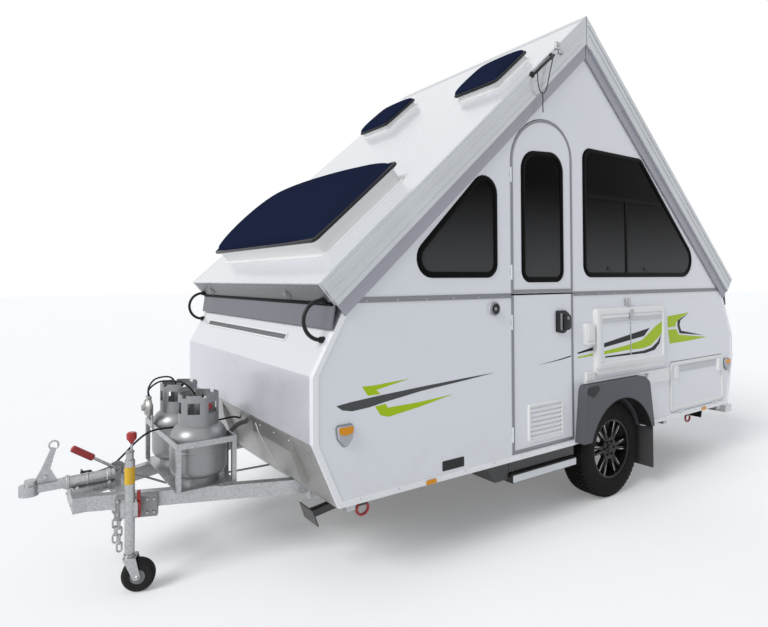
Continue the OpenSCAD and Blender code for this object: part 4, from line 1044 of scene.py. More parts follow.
class CAMPER_OT_sides(bpy.types.Operator):
    """Fits the table, boot and small fittings of the side walls"""
    bl_idname = "camper.sides"
    bl_label = "Sides"

    def execute(self, context):
        low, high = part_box("side_table")
        face = low.y
        cx, cz = (low.x + high.x) / 2, (low.z + high.z) / 2
        w, h = high.x - low.x, high.z - low.z
        rim = Shape()
        frame_rim(rim, cx, cz + 0.018, w, h - 0.036, 0.024, face, [
            (0.046, -0.0004), (0.046, 0.006), (0.040, 0.012), (0.008, 0.012), (0.001, 0.007), (0.001, -0.0004)])
        rim.block((low.x + 0.05, face - 0.009, high.z - 0.105), (high.x - 0.05, face + 0.0003, high.z - 0.046), 0.004)
        rim.make("table_rim", "fitting_white", "side_table", 40)
        Shape().flat(box_outline(cx, cz - 0.02, w - 0.1, h - 0.14, 0.012), face - 0.002, face + 0.0003, 0.001).make(
            "table_panel", "wall_white", "side_table")
        # Painted shade: a thin grey band on the face of the top rail, where the rail's moulding throws shade
        Shape().block((low.x + 0.06, face - 0.0102, high.z - 0.100),
                      (high.x - 0.06, face - 0.0088, high.z - 0.066)).make(
            "table_shade_band", "shade_alloy", "side_table")
        catch = Shape()
        x = NOSE + 2.53
        catch.block((x - 0.022, face - 0.019, high.z - 0.085), (x + 0.022, face - 0.0118, high.z - 0.012), 0.003)
        catch.turned([(0, 0.008), (0.006, 0.008), (0.009, 0.005)], (x, face - 0.0188, high.z - 0.03), LEFT, 14)
        catch.block((x - 0.004, face - 0.0065, low.z + 0.11), (x + 0.004, face - 0.0018, high.z - 0.086), 0.001)
        catch.make("table_catch", "zinc", "side_table", 40)
        keep = Shape()
        keep.block((x - 0.028, -SIDE - 0.016, high.z + 0.012), (x + 0.028, -SIDE + 0.0003, high.z + 0.062), 0.004)
        keep.block((x - 0.012, -SIDE - 0.024, high.z + 0.018), (x + 0.012, -SIDE - 0.0155, high.z + 0.05), 0.003)
        keep.make("table_catch_keep", "zinc", "trailer", 40)
        bx0, bx1 = NOSE + 3.095, NOSE + 3.945
        bz0, bz1 = SILL + 0.045, SILL + 0.045 + 0.388
        boot = Shape()
        frame_rim(boot, (bx0 + bx1) / 2, (bz0 + bz1) / 2 + 0.006, 0.85, 0.376, 0.03, -SIDE, [
            (0.030, -0.0004), (0.030, 0.004), (0.024, 0.009), (0.006, 0.009), (0.001, 0.005), (0.001, -0.0004)])
        boot.make("boot_rim", "fitting_white", "boot_lid", 40, "white_skin")
        # Painted shade: a thin grey band across the top of the boot lid, under the frame's top edge
        Shape().block((bx0 + 0.12, -SIDE - 0.0046, bz1 - 0.085), (bx1 - 0.13, -SIDE + 0.0003, bz1 - 0.034),
                      0.002).make("boot_grip", "shade_alloy", "boot_lid")
        pulls = Shape()
        for px in (bx0 + 0.085, bx1 - 0.085):
            pulls.flat(rounded([(px - 0.026, bz1 - 0.135), (px + 0.026, bz1 - 0.135), (px + 0.022, bz1 - 0.03),
                                (px - 0.022, bz1 - 0.03)], 0.012, 4), -SIDE - 0.020, -SIDE + 0.0002, 0.003)
        pulls.make("boot_latches", "fitting_white", "boot_lid", 40)
        ring = Shape()
        ring.turned([(0, 0.040), (0.006, 0.040), (0.010, 0.036), (0.010, 0.031), (0.0045, 0.030), (0.0045, 0.012),
                     (0.009, 0.011), (0.010, 0.009), (0.010, 0.0)], (NOSE + 1.182, -SIDE - 0.0118, 1.366), LEFT, 32)
        ring.make("lock_ring", "trim_alloy", "trailer", 40)
        Shape().turned([(0.0040, 0.0302), (0.0052, 0.0298), (0.0052, 0.0)], (NOSE + 1.182, -SIDE - 0.0118, 1.366),
                       LEFT, 32).make("lock_well", "black_plastic", "trailer", 40)
        cover = Shape()
        ox, oz = NOSE + 2.068, 1.166
        cover.flat(box_outline(ox, oz + 0.01, 0.074, 0.112, 0.012), -SIDE - 0.036, -SIDE - 0.0296, 0.003)
        cover.block((ox - 0.03, -SIDE - 0.041, oz - 0.062), (ox + 0.03, -SIDE - 0.0297, oz - 0.052), 0.002)
        cover.make("outlet_cover", "fitting_white", "trailer", 40)
        Shape().flat(box_outline(NOSE + 0.864, 0.526, 0.158, 0.054, 0.006), -SIDE - 0.002, -SIDE + 0.0002,
                     0.0008).make("blank_plate", "black_plastic")
        Shape().block((NOSE + 2.03, -SIDE - 0.020, 0.8525), (NOSE + 2.122, -SIDE + 0.0002, 0.915), 0.004).make(
            "rail_end", "fitting_white")
        spots = []
        for side, belt in ((-1, BELT), (1, BELT_RIGHT)):
            y = side * (SIDE + 0.0041)
            x = NOSE + 0.3
            while x < TAIL - 0.3:
                inside = DOOR_X - 0.03 < x < DOOR_X + DOOR_W + 0.03
                if not (side < 0 and inside):
                    spots.append((Vector((x, y, belt - 0.006)), (0, side, 0)))
                x += 0.19
            x = NOSE + 0.26
            while x < TAIL - 0.25:
                if abs(x - AXLE.x) > 0.52:
                    spots.append((Vector((x, y, SILL + 0.022)), (0, side, 0)))
                x += 0.23
        studs("trim_screws", spots, "zinc", "trailer", context.scene.camper_sizes.screw, 0.0018)
        return {"FINISHED"}


# Lids: name, place up the slope and across, length, width, foot, crown, body and the node that each stands for
HATCHES = [("hatch_dome_large", 0.565, 0, 0.70, 1.56, 0.0905, 0.085, "hatch_large", "hatch_lid_large"),
           ("hatch_dome_hatch_left", 2.08, -0.61, 0.40, 0.40, 0.0405, 0.012, "hatch_left", "hatch_lid_left"),
           ("hatch_dome_hatch_right", 2.08, 0.61, 0.40, 0.40, 0.0405, 0.012, "hatch_right", "hatch_lid_right")]
# Kerbs round the lids: place up the slope and across, length, width and height
KERBS = [(0.565, 0, 0.67, 1.53, 0.081), (2.08, -0.61, 0.39, 0.39, 0.036), (2.08, 0.61, 0.39, 0.39, 0.036)]


def hatch_dome(name, s, y, long, wide, base, crown, body, replaced):
    """A blown acrylic lid: steep rounded sides and a low pillow crown."""
    shape = Shape()
    place = roof_matrix(s, y, base)
    rows, cols = 22, 34
    grid = []
    for i in range(rows + 1):
        u = -1 + 2 * i / rows
        for j in range(cols + 1):
            v = -1 + 2 * j / cols
            fall = (1 - abs(u) ** 5) ** 0.42 * (1 - abs(v) ** 7) ** 0.42
            lift = 0.018 + fall * (0.030 + crown * (1 - 0.55 * u * u) * (1 - 0.6 * v * v))
            pull = 1 - 0.035 * (abs(u) * abs(v)) ** 6
            grid.append(place @ Vector((u * long / 2 * pull, v * wide / 2 * pull, lift)))
    faces = []
    for i in range(rows):
        for j in range(cols):
            a = i * (cols + 1) + j
            faces.append((a, a + 1, a + cols + 2, a + cols + 1))
    shape.add(grid, faces)
    edge = list(range(cols + 1)) + [i * (cols + 1) + cols for i in range(1, rows + 1)]
    edge += [rows * (cols + 1) + j for j in range(cols - 1, -1, -1)] + [i * (cols + 1) for i in range(rows - 1, 0, -1)]
    foot = [p - ROOF_OUT * 0.0178 for p in (grid[k] for k in edge)]
    start = len(shape.verts)
    shape.verts += foot
    for k in range(len(edge)):
        n = (k + 1) % len(edge)
        shape.faces.append((edge[k], edge[n], start + n, start + k))
    shape.faces.append(tuple(range(start, start + len(foot))))
    lid = shape.make(name, "dome_glass", body, 40)
    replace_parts(lid, replaced)
    rim = Shape()
    outline = box_outline(0, 0, long, wide, 0.03)
    path = [place @ Vector((x, z, 0.0)) for x, z in outline]
    rim.sweep(path, [(-0.012, 0.0005), (0.004, 0.0005), (0.006, 0.006), (0.004, 0.016), (-0.002, 0.019),
                     (-0.010, 0.019)], True, ROOF_OUT)
    rim.make(name + "_rim", "black_plastic", body, 40)


class CAMPER_OT_roof(bpy.types.Operator):
    """Dresses the roof's edges, hatches, handle and catches"""
    bl_idname = "camper.roof"
    bl_label = "Roof"

    def execute(self, context):
        reach = (RIDGE - EAVE).length
        ribs = Shape()
        for rear in (False, True):
            for side in (-1, 1):
                y = side * SKIRT_Y
                for drop, tall, proud in ((0.012, 0.022, 0.004), (0.066, 0.008, 0.003), (0.112, 0.024, 0.0045)):
                    s1 = reach - (drop + tall) / math.tan(PITCH) - 0.012
                    corners = [on_roof(0.004, 0, -drop, rear), on_roof(s1, 0, -drop, rear),
                               on_roof(s1, 0, -drop - tall, rear), on_roof(0.004, 0, -drop - tall, rear)]
                    near = [Vector((p.x, y - side * 0.0004, p.z)) for p in corners]
                    far = [Vector((p.x, y + side * proud, p.z)) for p in corners]
                    middle = sum(far, Vector()) / 4
                    far = [p + (middle - p).normalized() * 0.003 for p in far]
                    ribs.loft([near, far])
        ribs.make("skirt_ribs", "skirt_alloy")
        spots = []
        for rear in (False, True):
            for side in (-1, 1):
                for k in range(14):
                    at = on_roof(0.08 + k * 0.19, 0, -0.094, rear)
                    spots.append((at + RIGHT * (side * (SKIRT_Y + 0.0001)), (0, side, 0)))
        rows = [-0.95 + k * 0.0905 for k in range(22)]
        spots += [(on_roof(0.0, y, -0.03) - SLOPE * 0.0001, tuple(-SLOPE)) for y in rows]
        spots += [(on_roof(0.0, y, -0.03, True), (SLOPE.x, 0, -SLOPE.z)) for y in rows]
        studs("skirt_rivets", spots, "skirt_alloy", "trailer", 0.0042, 0.0016, 8)
        for values in HATCHES:
            hatch_dome(*values)
        kerb = Shape()
        for s, y, long, wide, tall in KERBS:
            place = roof_matrix(s, y)
            path = [place @ Vector((x, z, 0.0)) for x, z in box_outline(0, 0, long, wide, 0.055)]
            kerb.sweep(path, [(-0.006, -0.0004), (0.026, -0.0004), (0.026, 0.004), (0.006, 0.007), (0.003, 0.014),
                              (0.002, tall), (-0.006, tall)], True, ROOF_OUT)
        kerb.make("hatch_kerbs", "fitting_white", "trailer", 40)
        handle = Shape()
        ends = [Vector((NOSE + 1.505, -SKIRT_Y - 0.001, 2.80)), Vector((NOSE + 1.69, -SKIRT_Y - 0.001, 2.955))]
        along = (ends[1] - ends[0]).normalized()
        path = smooth_path([ends[0], ends[0] + Vector((0, -0.026, 0.004)) + along * 0.012,
                            ends[0] + along * 0.07 + Vector((0, -0.036, 0.010)),
                            ends[1] - along * 0.07 + Vector((0, -0.036, 0.010)),
                            ends[1] + Vector((0, -0.026, 0.004)) - along * 0.012, ends[1]], 7)
        handle.tube(path, 0.010, 12)
        for p in ends:
            handle.turned([(0, 0.021), (0.005, 0.021), (0.008, 0.014)], p + Vector((0, 0.0006, 0)), LEFT, 18)
        handle.make("roof_handle", "black_plastic", "trailer", 40)
        bracket = Shape()
        for p, tall in ((Vector((NOSE + 1.745, -SKIRT_Y, 3.035)), 0.05),
                        (Vector((NOSE + 1.78, -SKIRT_Y, 3.005)), 0.03)):
            bracket.block((p.x - 0.02, p.y - 0.012, p.z - tall / 2), (p.x + 0.02, p.y + 0.0004, p.z + tall / 2), 0.003)
        bracket.turned([(0, 0.007), (0.006, 0.007), (0.008, 0.004)], (NOSE + 1.745, -SKIRT_Y - 0.0118, 3.035), LEFT,
                       12)
        bracket.make("roof_bracket", "zinc")
        # Painted shade: a thin dark grey strip over the downward face of each eave, where shade falls
        eave_shade_strip = Shape()
        band = ((-0.99, -0.008), (0.99, -0.008), (0.99, -0.13), (-0.99, -0.13))
        for rear in (False, True):
            out = Vector((SLOPE.x if rear else -SLOPE.x, 0, -SLOPE.z))
            corners = [on_roof(0.0, y, lift, rear) for y, lift in band]
            eave_shade_strip.loft([[p + out * off for p in corners] for off in (-0.0003, 0.0009)])
        eave_shade_strip.make("eave_fascia", "fascia_alloy")
        catches, hooks = Shape(), Shape()
        for y in (-0.56, 0.70):
            for rear in (False, True):
                flip = -1 if rear else 1
                base = on_roof(0.0, y, -0.075, rear)
                out = Vector((-SLOPE.x * flip, 0, -SLOPE.z))
                up = Vector((ROOF_OUT.x * flip, 0, ROOF_OUT.z))
                axes = (RIGHT, up, out)
                ring = [(-0.016, -0.03), (0.016, -0.03), (0.016, 0.03), (-0.016, 0.03)]
                catches.loft([[along_axes(base, axes, (a * w, b * h, c)) for a, b in ring]
                              for w, h, c in ((1, 1, -0.0005), (1, 1, 0.004), (0.8, 0.85, 0.006))])
                hook = [along_axes(base, axes, p) for p in (
                    (-0.010, 0.014, 0.005), (-0.012, 0.012, 0.014), (0.0, -0.012, 0.018), (0.014, -0.034, 0.014),
                    (0.018, -0.038, 0.008))]
                hooks.tube(smooth_path(hook, 4), 0.003, 8)
                hooks.tube([along_axes(base, axes, p) for p in (
                    (0.014, 0.018, 0.005), (0.012, 0.016, 0.016), (-0.014, -0.02, 0.016))], 0.003, 8)
        catches.make("eave_catch_plates", "zinc_dark")
        hooks.make("eave_catch_hooks", "zinc_dark", "trailer", 60)
        return {"FINISHED"}


class CAMPER_OT_nose(bpy.types.Operator):
    """Dresses the front wall: louvre, hinge flap and cable loops"""
    bl_idname = "camper.nose"
    bl_label = "Front wall"

    def execute(self, context):
        foot = Vector((NOSE, 0, FOLD))
        head = Vector((NOSE + 0.195, 0, BELT))
        up = (head - foot).normalized()
        out = Vector((-up.z, 0, up.x))
        middle = foot + up * 0.1645
        frame_path = [middle + Vector((0, y, 0)) + up * z for y, z in box_outline(0.10, 0, 1.30, 0.036, 0.008)]
        Shape().sweep(frame_path, [(-0.004, -0.0004), (-0.004, 0.008), (0.004, 0.008), (0.006, -0.0004)], True,
                      out).make("nose_louvre_frame", "fitting_white", "trailer", 40)
        bar = Shape()
        base = middle + Vector((0, -0.537, 0))
        ring = [(-0.015, 0), (0.015, 0), (0.015, 0.0088), (-0.015, 0.0088)]
        bar.loft([[base + up * a + out * b for a, b in ring],
                  [base + Vector((0, 0.010, 0)) + up * a + out * b for a, b in ring]])
        row_of("nose_louvre_bars", bar, 53, (0, 0.0243, 0), "trim_alloy", "trailer")
        bead = Shape()
        eave = on_roof(0.0, 0, -0.140)
        for rear in (False, True):
            x = 2 * RIDGE_X - eave.x if rear else eave.x
            away = 1 if rear else -1
            path = [Vector((x + away * 0.010, -0.985, eave.z + 0.004)),
                    Vector((x + away * 0.010, 0.985, eave.z + 0.004))]
            bead.tube(path, 0.009, 12)
        bead.make("hinge_bead", "seal_rubber", "trailer", 60)
        ribs, glands = Shape(), Shape()
        bow = 0.095
        top = EAVE - ROOF_OUT * 0.110
        centre = Vector((NOSE + 0.080, 0, top.z - bow))
        for side in (-1, 1):
            y = side * (SIDE - 0.06)
            for k in range(34):
                a = math.pi / 2 + math.pi * (k + 0.5) / 34
                p = centre + Vector((math.cos(a) * bow, y, math.sin(a) * bow))
                t = Vector((-math.sin(a), 0, math.cos(a)))
                ribs.turned([(-0.002, 0.0085), (-0.0012, 0.0105), (0.0012, 0.0105), (0.002, 0.0085)], p, t, 14)
            for end in (centre + Vector((0, y, -bow)), centre + Vector((0.006, y, bow))):
                glands.turned([(-0.010, 0.010), (-0.010, 0.016), (0.014, 0.016), (0.020, 0.012)], end, (1, 0, 0), 8)
        ribs.make("conduit_ribs", "black_plastic", "trailer", 60, "black_rubber")
        glands.make("conduit_glands", "black_plastic")
        return {"FINISHED"}


def tread_lug(shape, across, round_to, skew, foot, top):
    """One block of tread between two distances across and two angles, lower towards the shoulders."""
    (y0, y1), (a0, a1) = across, round_to
    my, ma = (y0 + y1) / 2, (a0 + a1 + skew) / 2
    rings = []
    for r, shrink in ((foot, 1.0), (top, 0.93)):
        ring = []
        for y, a in ((y0, a0), (y1, a0 + skew), (y1, a1 + skew), (y0, a1)):
            y, a = my + (y - my) * shrink, ma + (a - ma) * shrink
            reach = r - 0.010 * max(0, abs(y) - 0.062) / 0.03
            ring.append(Vector((reach * math.cos(a), y, reach * math.sin(a))))
        rings.append(ring)
    shape.loft(rings)


class CAMPER_OT_wheels(bpy.types.Operator):
    """Makes the road tyres, wheel nuts and caps"""
    bl_idname = "camper.wheels"
    bl_label = "Wheels"

    def execute(self, context):
        sizes = context.scene.camper_sizes
        depth, count = sizes.tread_depth, sizes.tread_pitches
        outer = AXLE.z
        for side, body in ((-1, "left"), (1, "right")):
            centre = Vector((AXLE.x, side * (TYRE_OUT - HALF_TYRE), AXLE.z))
            groove = outer - depth
            wall = [(0.0825, 0.1862), (0.088, 0.192), (0.0905, 0.206), (0.0915, 0.2085), (0.0915, 0.216),
                    (0.092, 0.2175), (0.0923, 0.247), (0.0917, 0.251), (0.0925, 0.2555), (0.092, 0.262),
                    (0.0888, 0.283), (0.083, 0.298), (0.074, 0.3075)]
            stretch = (outer - 0.0125 - BEAD) / (0.3075 - 0.1862)
            wall = [(a, BEAD + (r - 0.1862) * stretch) for a, r in wall]
            crown = [(0.062, groove), (0.03, groove + 0.0012), (0, groove + 0.0016)]
            profile = [(-a, r) for a, r in wall] + [(-a, r) for a, r in crown[:-1]]
            profile += [(a, r) for a, r in reversed(crown)] + [(a, r) for a, r in reversed(wall)]
            body_shape = Shape()
            body_shape.loft([[centre + Vector((r * math.cos(a), along, r * math.sin(a))) for along, r in profile]
                             for a in turns(120)], False, True)
            carcass = body_shape.make(f"tyre_carcass_{body}", "tread", f"wheel_{body}", 35)
            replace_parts(carcass, f"tyre_{body}")
            block = Shape()
            pitch = 2 * math.pi / count
            for start, end, skew, phase in ((-0.012, 0.012, 0.5, 0.0), (0.017, 0.042, 0.35, 0.3),
                                            (-0.042, -0.017, 0.35, 0.1), (0.048, 0.079, 0.12, 0.55),
                                            (-0.079, -0.048, 0.12, 0.2)):
                tread_lug(block, (start, end), (pitch * phase, pitch * (phase + 0.80)), pitch * skew,
                          groove - 0.004, outer)
            ring_of(f"tyre_lugs_{body}", block, count, centre, "tread", f"wheel_{body}")
            lines = Shape()
            face = side * (TYRE_OUT - 0.024) - centre.y
            for lean in (-9, 9):
                turn = Matrix.Rotation(math.radians(lean), 3, "Y")
                edge = -0.0075 if lean > 0 else 0.0075
                ring = [(0.116, edge - 0.0010), (0.190, edge - 0.0024), (0.190, edge + 0.0024), (0.116, edge + 0.0010)]
                lines.loft([[turn @ Vector((x, face + side * h, z)) for x, z in ring] for h in (-0.0006, 0.0012)])
            ring_of(f"wheel_spoke_lines_{body}", lines, 6, centre, "machined", f"wheel_{body}")
            nut = Shape()
            face = side * (TYRE_OUT - 0.022) - centre.y
            nut.turned([(-0.004, 0.011), (0.010, 0.011), (0.013, 0.008), (0.013, 0.0)],
                       (0.048, face, 0), (0, side, 0), 6)
            ring_of(f"wheel_nuts_{body}", nut, 6, centre, "alloy_wheel", f"wheel_{body}")
            cap = Shape()
            cap.turned([(-0.003, 0.030), (0.006, 0.030), (0.010, 0.026), (0.012, 0.018), (0.012, 0.0)],
                       centre + Vector((0, face, 0)), (0, side, 0), 32)
            cap.make(f"wheel_cap_{body}", "black_plastic", f"wheel_{body}", 40, "alloy")
            lip = Shape()
            lip.turned([(-0.004, BEAD - 0.0115), (0.006, BEAD - 0.010), (0.010, BEAD - 0.004), (0.010, BEAD + 0.002),
                        (0.004, BEAD + 0.004), (-0.004, BEAD - 0.0004)], centre + Vector((0, side * 0.0775, 0)),
                       (0, side, 0), 72)
            lip.faces = [f for f in lip.faces if len(f) == 4]
            for i in range(72):
                j = (i + 1) % 72
                lip.faces.append((5 * 72 + i, 5 * 72 + j, j, i))
            lip.make(f"rim_lip_{body}", "alloy_wheel", f"wheel_{body}", 40)
            liner = Shape()
            rings = []
            for k in range(41):
                a = math.radians(19 + 142 * k / 40)
                rings.append([Vector((AXLE.x + r * math.cos(a), side * y, AXLE.z + r * math.sin(a)))
                              for r, y in ((0.3705, SIDE - 0.0302), (0.3705, SIDE + 0.0684), (0.3748, SIDE + 0.0684),
                                           (0.3748, SIDE - 0.0302))])
            liner.loft(rings)
            liner.make(f"arch_liner_{body}", "black_plastic", "trailer", 40)
        return {"FINISHED"}


def struck(node, start, way):
    """Where a line from a point first meets a CAD node, and which way the surface faces there."""
    found, place, facing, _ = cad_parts[node].ray_cast(Vector(start), Vector(way))
    return (place, facing) if found else None


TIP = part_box("coupling")[0].x
BOTTLE = Vector((NOSE - 0.285, 0.2, SILL + 0.004))
COLLAR_LEVELS = (0.290, 0.370, 0.430, 0.454, 0.470)
COLLAR_STEPS = 72
COLLAR_RADII = (0.1065, 0.1025)


def collar_metal(k, n):
    """Whether a bottle's collar has metal at that step round it and that level: it has windows and notches."""
    if not 0 <= n < len(COLLAR_LEVELS) - 1:
        return False
    k %= 12
    return not (n == 1 and k < 7) and not (n == 3 and 8 <= k < 11)


def collar_point(axis, k, n, r):
    a = math.radians(-78) + 2 * math.pi * k / COLLAR_STEPS
    return axis + Vector((r * math.cos(a), r * math.sin(a), COLLAR_LEVELS[n]))


def bottle_pair():
    """Two gas bottles, each with a foot ring and a pierced collar."""
    shape = Shape()
    for side in (-1, 1):
        axis = Vector((BOTTLE.x, side * BOTTLE.y, BOTTLE.z))
        shell = rounded([(0, 0.03), (0.15, 0.03), (0.15, 0.30), (0, 0.33)], [0.001, 0.05, 0.085, 0.001])
        shape.turned([(z, max(r, 0)) for r, z in shell], axis, UP, 64)
        shape.turned([(0, 0.1015), (0, 0.1065), (0.04, 0.1065), (0.04, 0.1015)], axis, UP, 48)
        shape.turned([(0.315, 0.023), (0.410, 0.023)], axis, UP, 24)
        for k in range(COLLAR_STEPS):
            for n in range(len(COLLAR_LEVELS) - 1):
                if not collar_metal(k, n):
                    continue
                ends = [(k, n), (k + 1, n), (k + 1, n + 1), (k, n + 1)]
                near = [(k, n - 1), (k + 1, n), (k, n + 1), (k - 1, n)]
                rims = [(i, (i + 1) % 4, (i + 1) % 4 + 4, i + 4) for i in range(4) if not collar_metal(*near[i])]
                shape.add([collar_point(axis, *e, r) for r in COLLAR_RADII for e in ends],
                          [(0, 1, 2, 3), (7, 6, 5, 4)] + rims)
    return shape


class CAMPER_OT_drawbar(bpy.types.Operator):
    """Fits bolts, grips, valves and the regulator on the drawbar"""
    bl_idname = "camper.drawbar"
    bl_label = "Drawbar"

    def execute(self, context):
        spots = [(Vector((x, y, SILL + 0.0239)), UP) for x in (TIP + 0.255, TIP + 0.405) for y in (-0.046, 0.046)]
        spots += [(Vector((TIP + 0.224 - 0.0001, y, 0.412)), (-1, 0, 0)) for y in (-0.095, 0.095)]
        studs("coupling_bolts", spots, "zinc", "trailer", 0.011, 0.009, 6)
        head = Vector((TIP + 0.045, 0, 0.496))
        collars = Shape()
        for x, r, w in ((TIP + 0.205, 0.037, 0.018), (TIP + 0.395, 0.036, 0.022), (TIP + 0.300, 0.034, 0.010)):
            collars.turned([(0, 0.0305), (0, r - 0.003), (0.003, r), (w - 0.003, r), (w, r - 0.003), (w, 0.0305)],
                           (x, 0, 0.5), (1, 0, 0), 28)
        collars.tube([Vector((head.x + 0.107 + 0.021 * math.cos(a), 0.0, head.z + 0.207 + 0.021 * math.sin(a)))
                      for a in turns(24, 1)], 0.0045, 8, False)
        for side in (-1, 1):
            collars.turned([(0, 0.013), (0.006, 0.013), (0.009, 0.009)],
                           (head.x + 0.070, side * 0.0098, head.z + 0.050), (0, side, 0), 12)
        collars.make("coupling_collars", "zinc", "trailer", 40)
        pull = Vector((-0.829, 0, 0.559))
        base = Vector((TIP + 0.456, 0.04, SILL + 0.064))
        grip = Shape()
        profile = [(0.142, 0.0165), (0.146, 0.0185)]
        for k in range(9):
            at = 0.150 + 0.011 * k
            profile += [(at, 0.0176), (at + 0.002, 0.0190), (at + 0.008, 0.0190), (at + 0.010, 0.0176)]
        grip.turned(profile + [(0.254, 0.0188), (0.262, 0.0165), (0.265, 0.010), (0.265, 0)], base, pull, 24)
        grip.make("handbrake_grip", "red_paint", "trailer", 40)
        quadrant = Shape()
        teeth = []
        for k in range(25):
            a = math.radians(20 + 140 * k / 24)
            r = 0.052 if k % 2 else 0.047
            teeth.append((base.x + r * math.cos(a), base.z - 0.012 + r * math.sin(a)))
        quadrant.flat(teeth + [(base.x - 0.03, base.z - 0.03), (base.x + 0.03, base.z - 0.03)], 0.0502, 0.0545)
        quadrant.turned([(0, 0.012), (0.010, 0.012), (0.012, 0.009)], (base.x, 0.0542, base.z), RIGHT, 6)
        quadrant.turned([(0, 0.012), (0.006, 0.012), (0.008, 0.009)], (base.x, 0.0302, base.z), LEFT, 6)
        rod_end = Vector((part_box("axle")[0].x + 0.006, 0.04, 0.335))
        quadrant.tube([base + Vector((0.012, 0, -0.02)), Vector((TIP + 0.52, 0.04, 0.470)),
                       Vector((TIP + 0.60, 0.04, 0.440)), Vector((TIP + 0.71, 0.04, 0.384)),
                       Vector((TIP + 0.80, 0.04, 0.376)), Vector((NOSE, 0.04, 0.370)), rod_end], 0.006, 10)
        quadrant.make("brake_rod", "zinc_dark", "trailer", 40)
        seams, brass, wheels, caps = Shape(), Shape(), Shape(), Shape()
        for side in (-1, 1):
            axis = Vector((BOTTLE.x, side * BOTTLE.y, BOTTLE.z))
            seams.turned([(0.168, 0.1496), (0.170, 0.1516), (0.174, 0.1522), (0.178, 0.1516), (0.180, 0.1496)], axis,
                         UP, 64)
            seams.faces = [f for f in seams.faces if len(f) == 4]
            way = Vector((0.5, -0.866, 0))
            out = axis + Vector((0, 0, 0.400))
            brass.turned([(0.372, 0.017), (0.400, 0.017), (0.404, 0.013), (0.432, 0.013), (0.436, 0.009),
                          (0.446, 0.009)], axis, UP, 20)
            brass.turned([(0, 0.009), (0.045, 0.009), (0.045, 0.014), (0.058, 0.014), (0.058, 0.010), (0.064, 0.010)],
                         out, way, 6)
            caps.turned([(0.060, 0.0175), (0.064, 0.019), (0.078, 0.019), (0.084, 0.016), (0.085, 0.0)], out, way, 20)
            ring = []
            for k in range(48):
                a = 2 * math.pi * k / 48
                r = 0.027 + 0.0025 * math.cos(8 * a)
                ring.append((r * math.cos(a), r * math.sin(a)))
            wheels.loft([[axis + Vector((x * f, y * f, z)) for x, y in ring]
                         for f, z in ((0.86, 0.440), (1.0, 0.444), (1.0, 0.455), (0.86, 0.459), (0.4, 0.459))])
        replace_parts(bottle_pair().make("bottle_shells", "bottle_zinc", "trailer", 35), "gas_bottles")
        seams.make("bottle_seams", "bottle_zinc", "trailer", 50)
        brass.make("bottle_valves", "brass", "trailer", 40)
        wheels.make("bottle_hand_wheels", "black_plastic", "trailer", 40)
        caps.make("bottle_caps", "red_paint", "trailer", 40)
        body = Shape()
        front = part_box("gas_tray")[0].x
        seat = Vector((front - 0.022, 0.17, 0.80))
        body.turned([(-0.022, 0.016), (-0.014, 0.026), (-0.012, 0.050), (-0.005, 0.056), (0.005, 0.056),
                     (0.010, 0.050), (0.020, 0.043), (0.026, 0.020), (0.038, 0.018), (0.040, 0)], seat, (-1, 0, 0), 36)
        body.turned([(0.036, 0.009), (0.050, 0.009), (0.050, 0.012), (0.062, 0.012), (0.062, 0.007)], seat, UP, 6)
        body.turned([(0.036, 0.008), (0.056, 0.008), (0.056, 0.011), (0.066, 0.011)], seat, (0, 0, -1), 6)
        body.block((front - 0.005, 0.150, 0.672), (front + 0.0002, 0.190, 0.815), 0.0015)
        body.block((front - 0.034, 0.142, 0.850), (front - 0.010, 0.190, 0.866), 0.003)
        body.make("gas_regulator", "guard_sheet", "trailer", 40)
        line = [struck("stone_guard", (TIP, -0.301 - 0.147 * k / 8, 0.735 - 0.203 * k / 8),
                       (1, 0, 0)) for k in range(9)]
        Shape().tube([hit[0] for hit in line if hit], 0.0032, 8).make(
            "guard_crease", "guard_sheet", "trailer", 60)
        rivets = []
        for k in range(11):
            for z in (0.735, 0.50):
                hit = struck("stone_guard", (TIP, -0.92 + 0.184 * k, z), (1, 0, 0))
                if hit:
                    rivets.append((hit[0], tuple(hit[1])))
        studs("guard_rivets", rivets, "guard_sheet", "trailer", 0.006, 0.0025, 10)
        return {"FINISHED"}


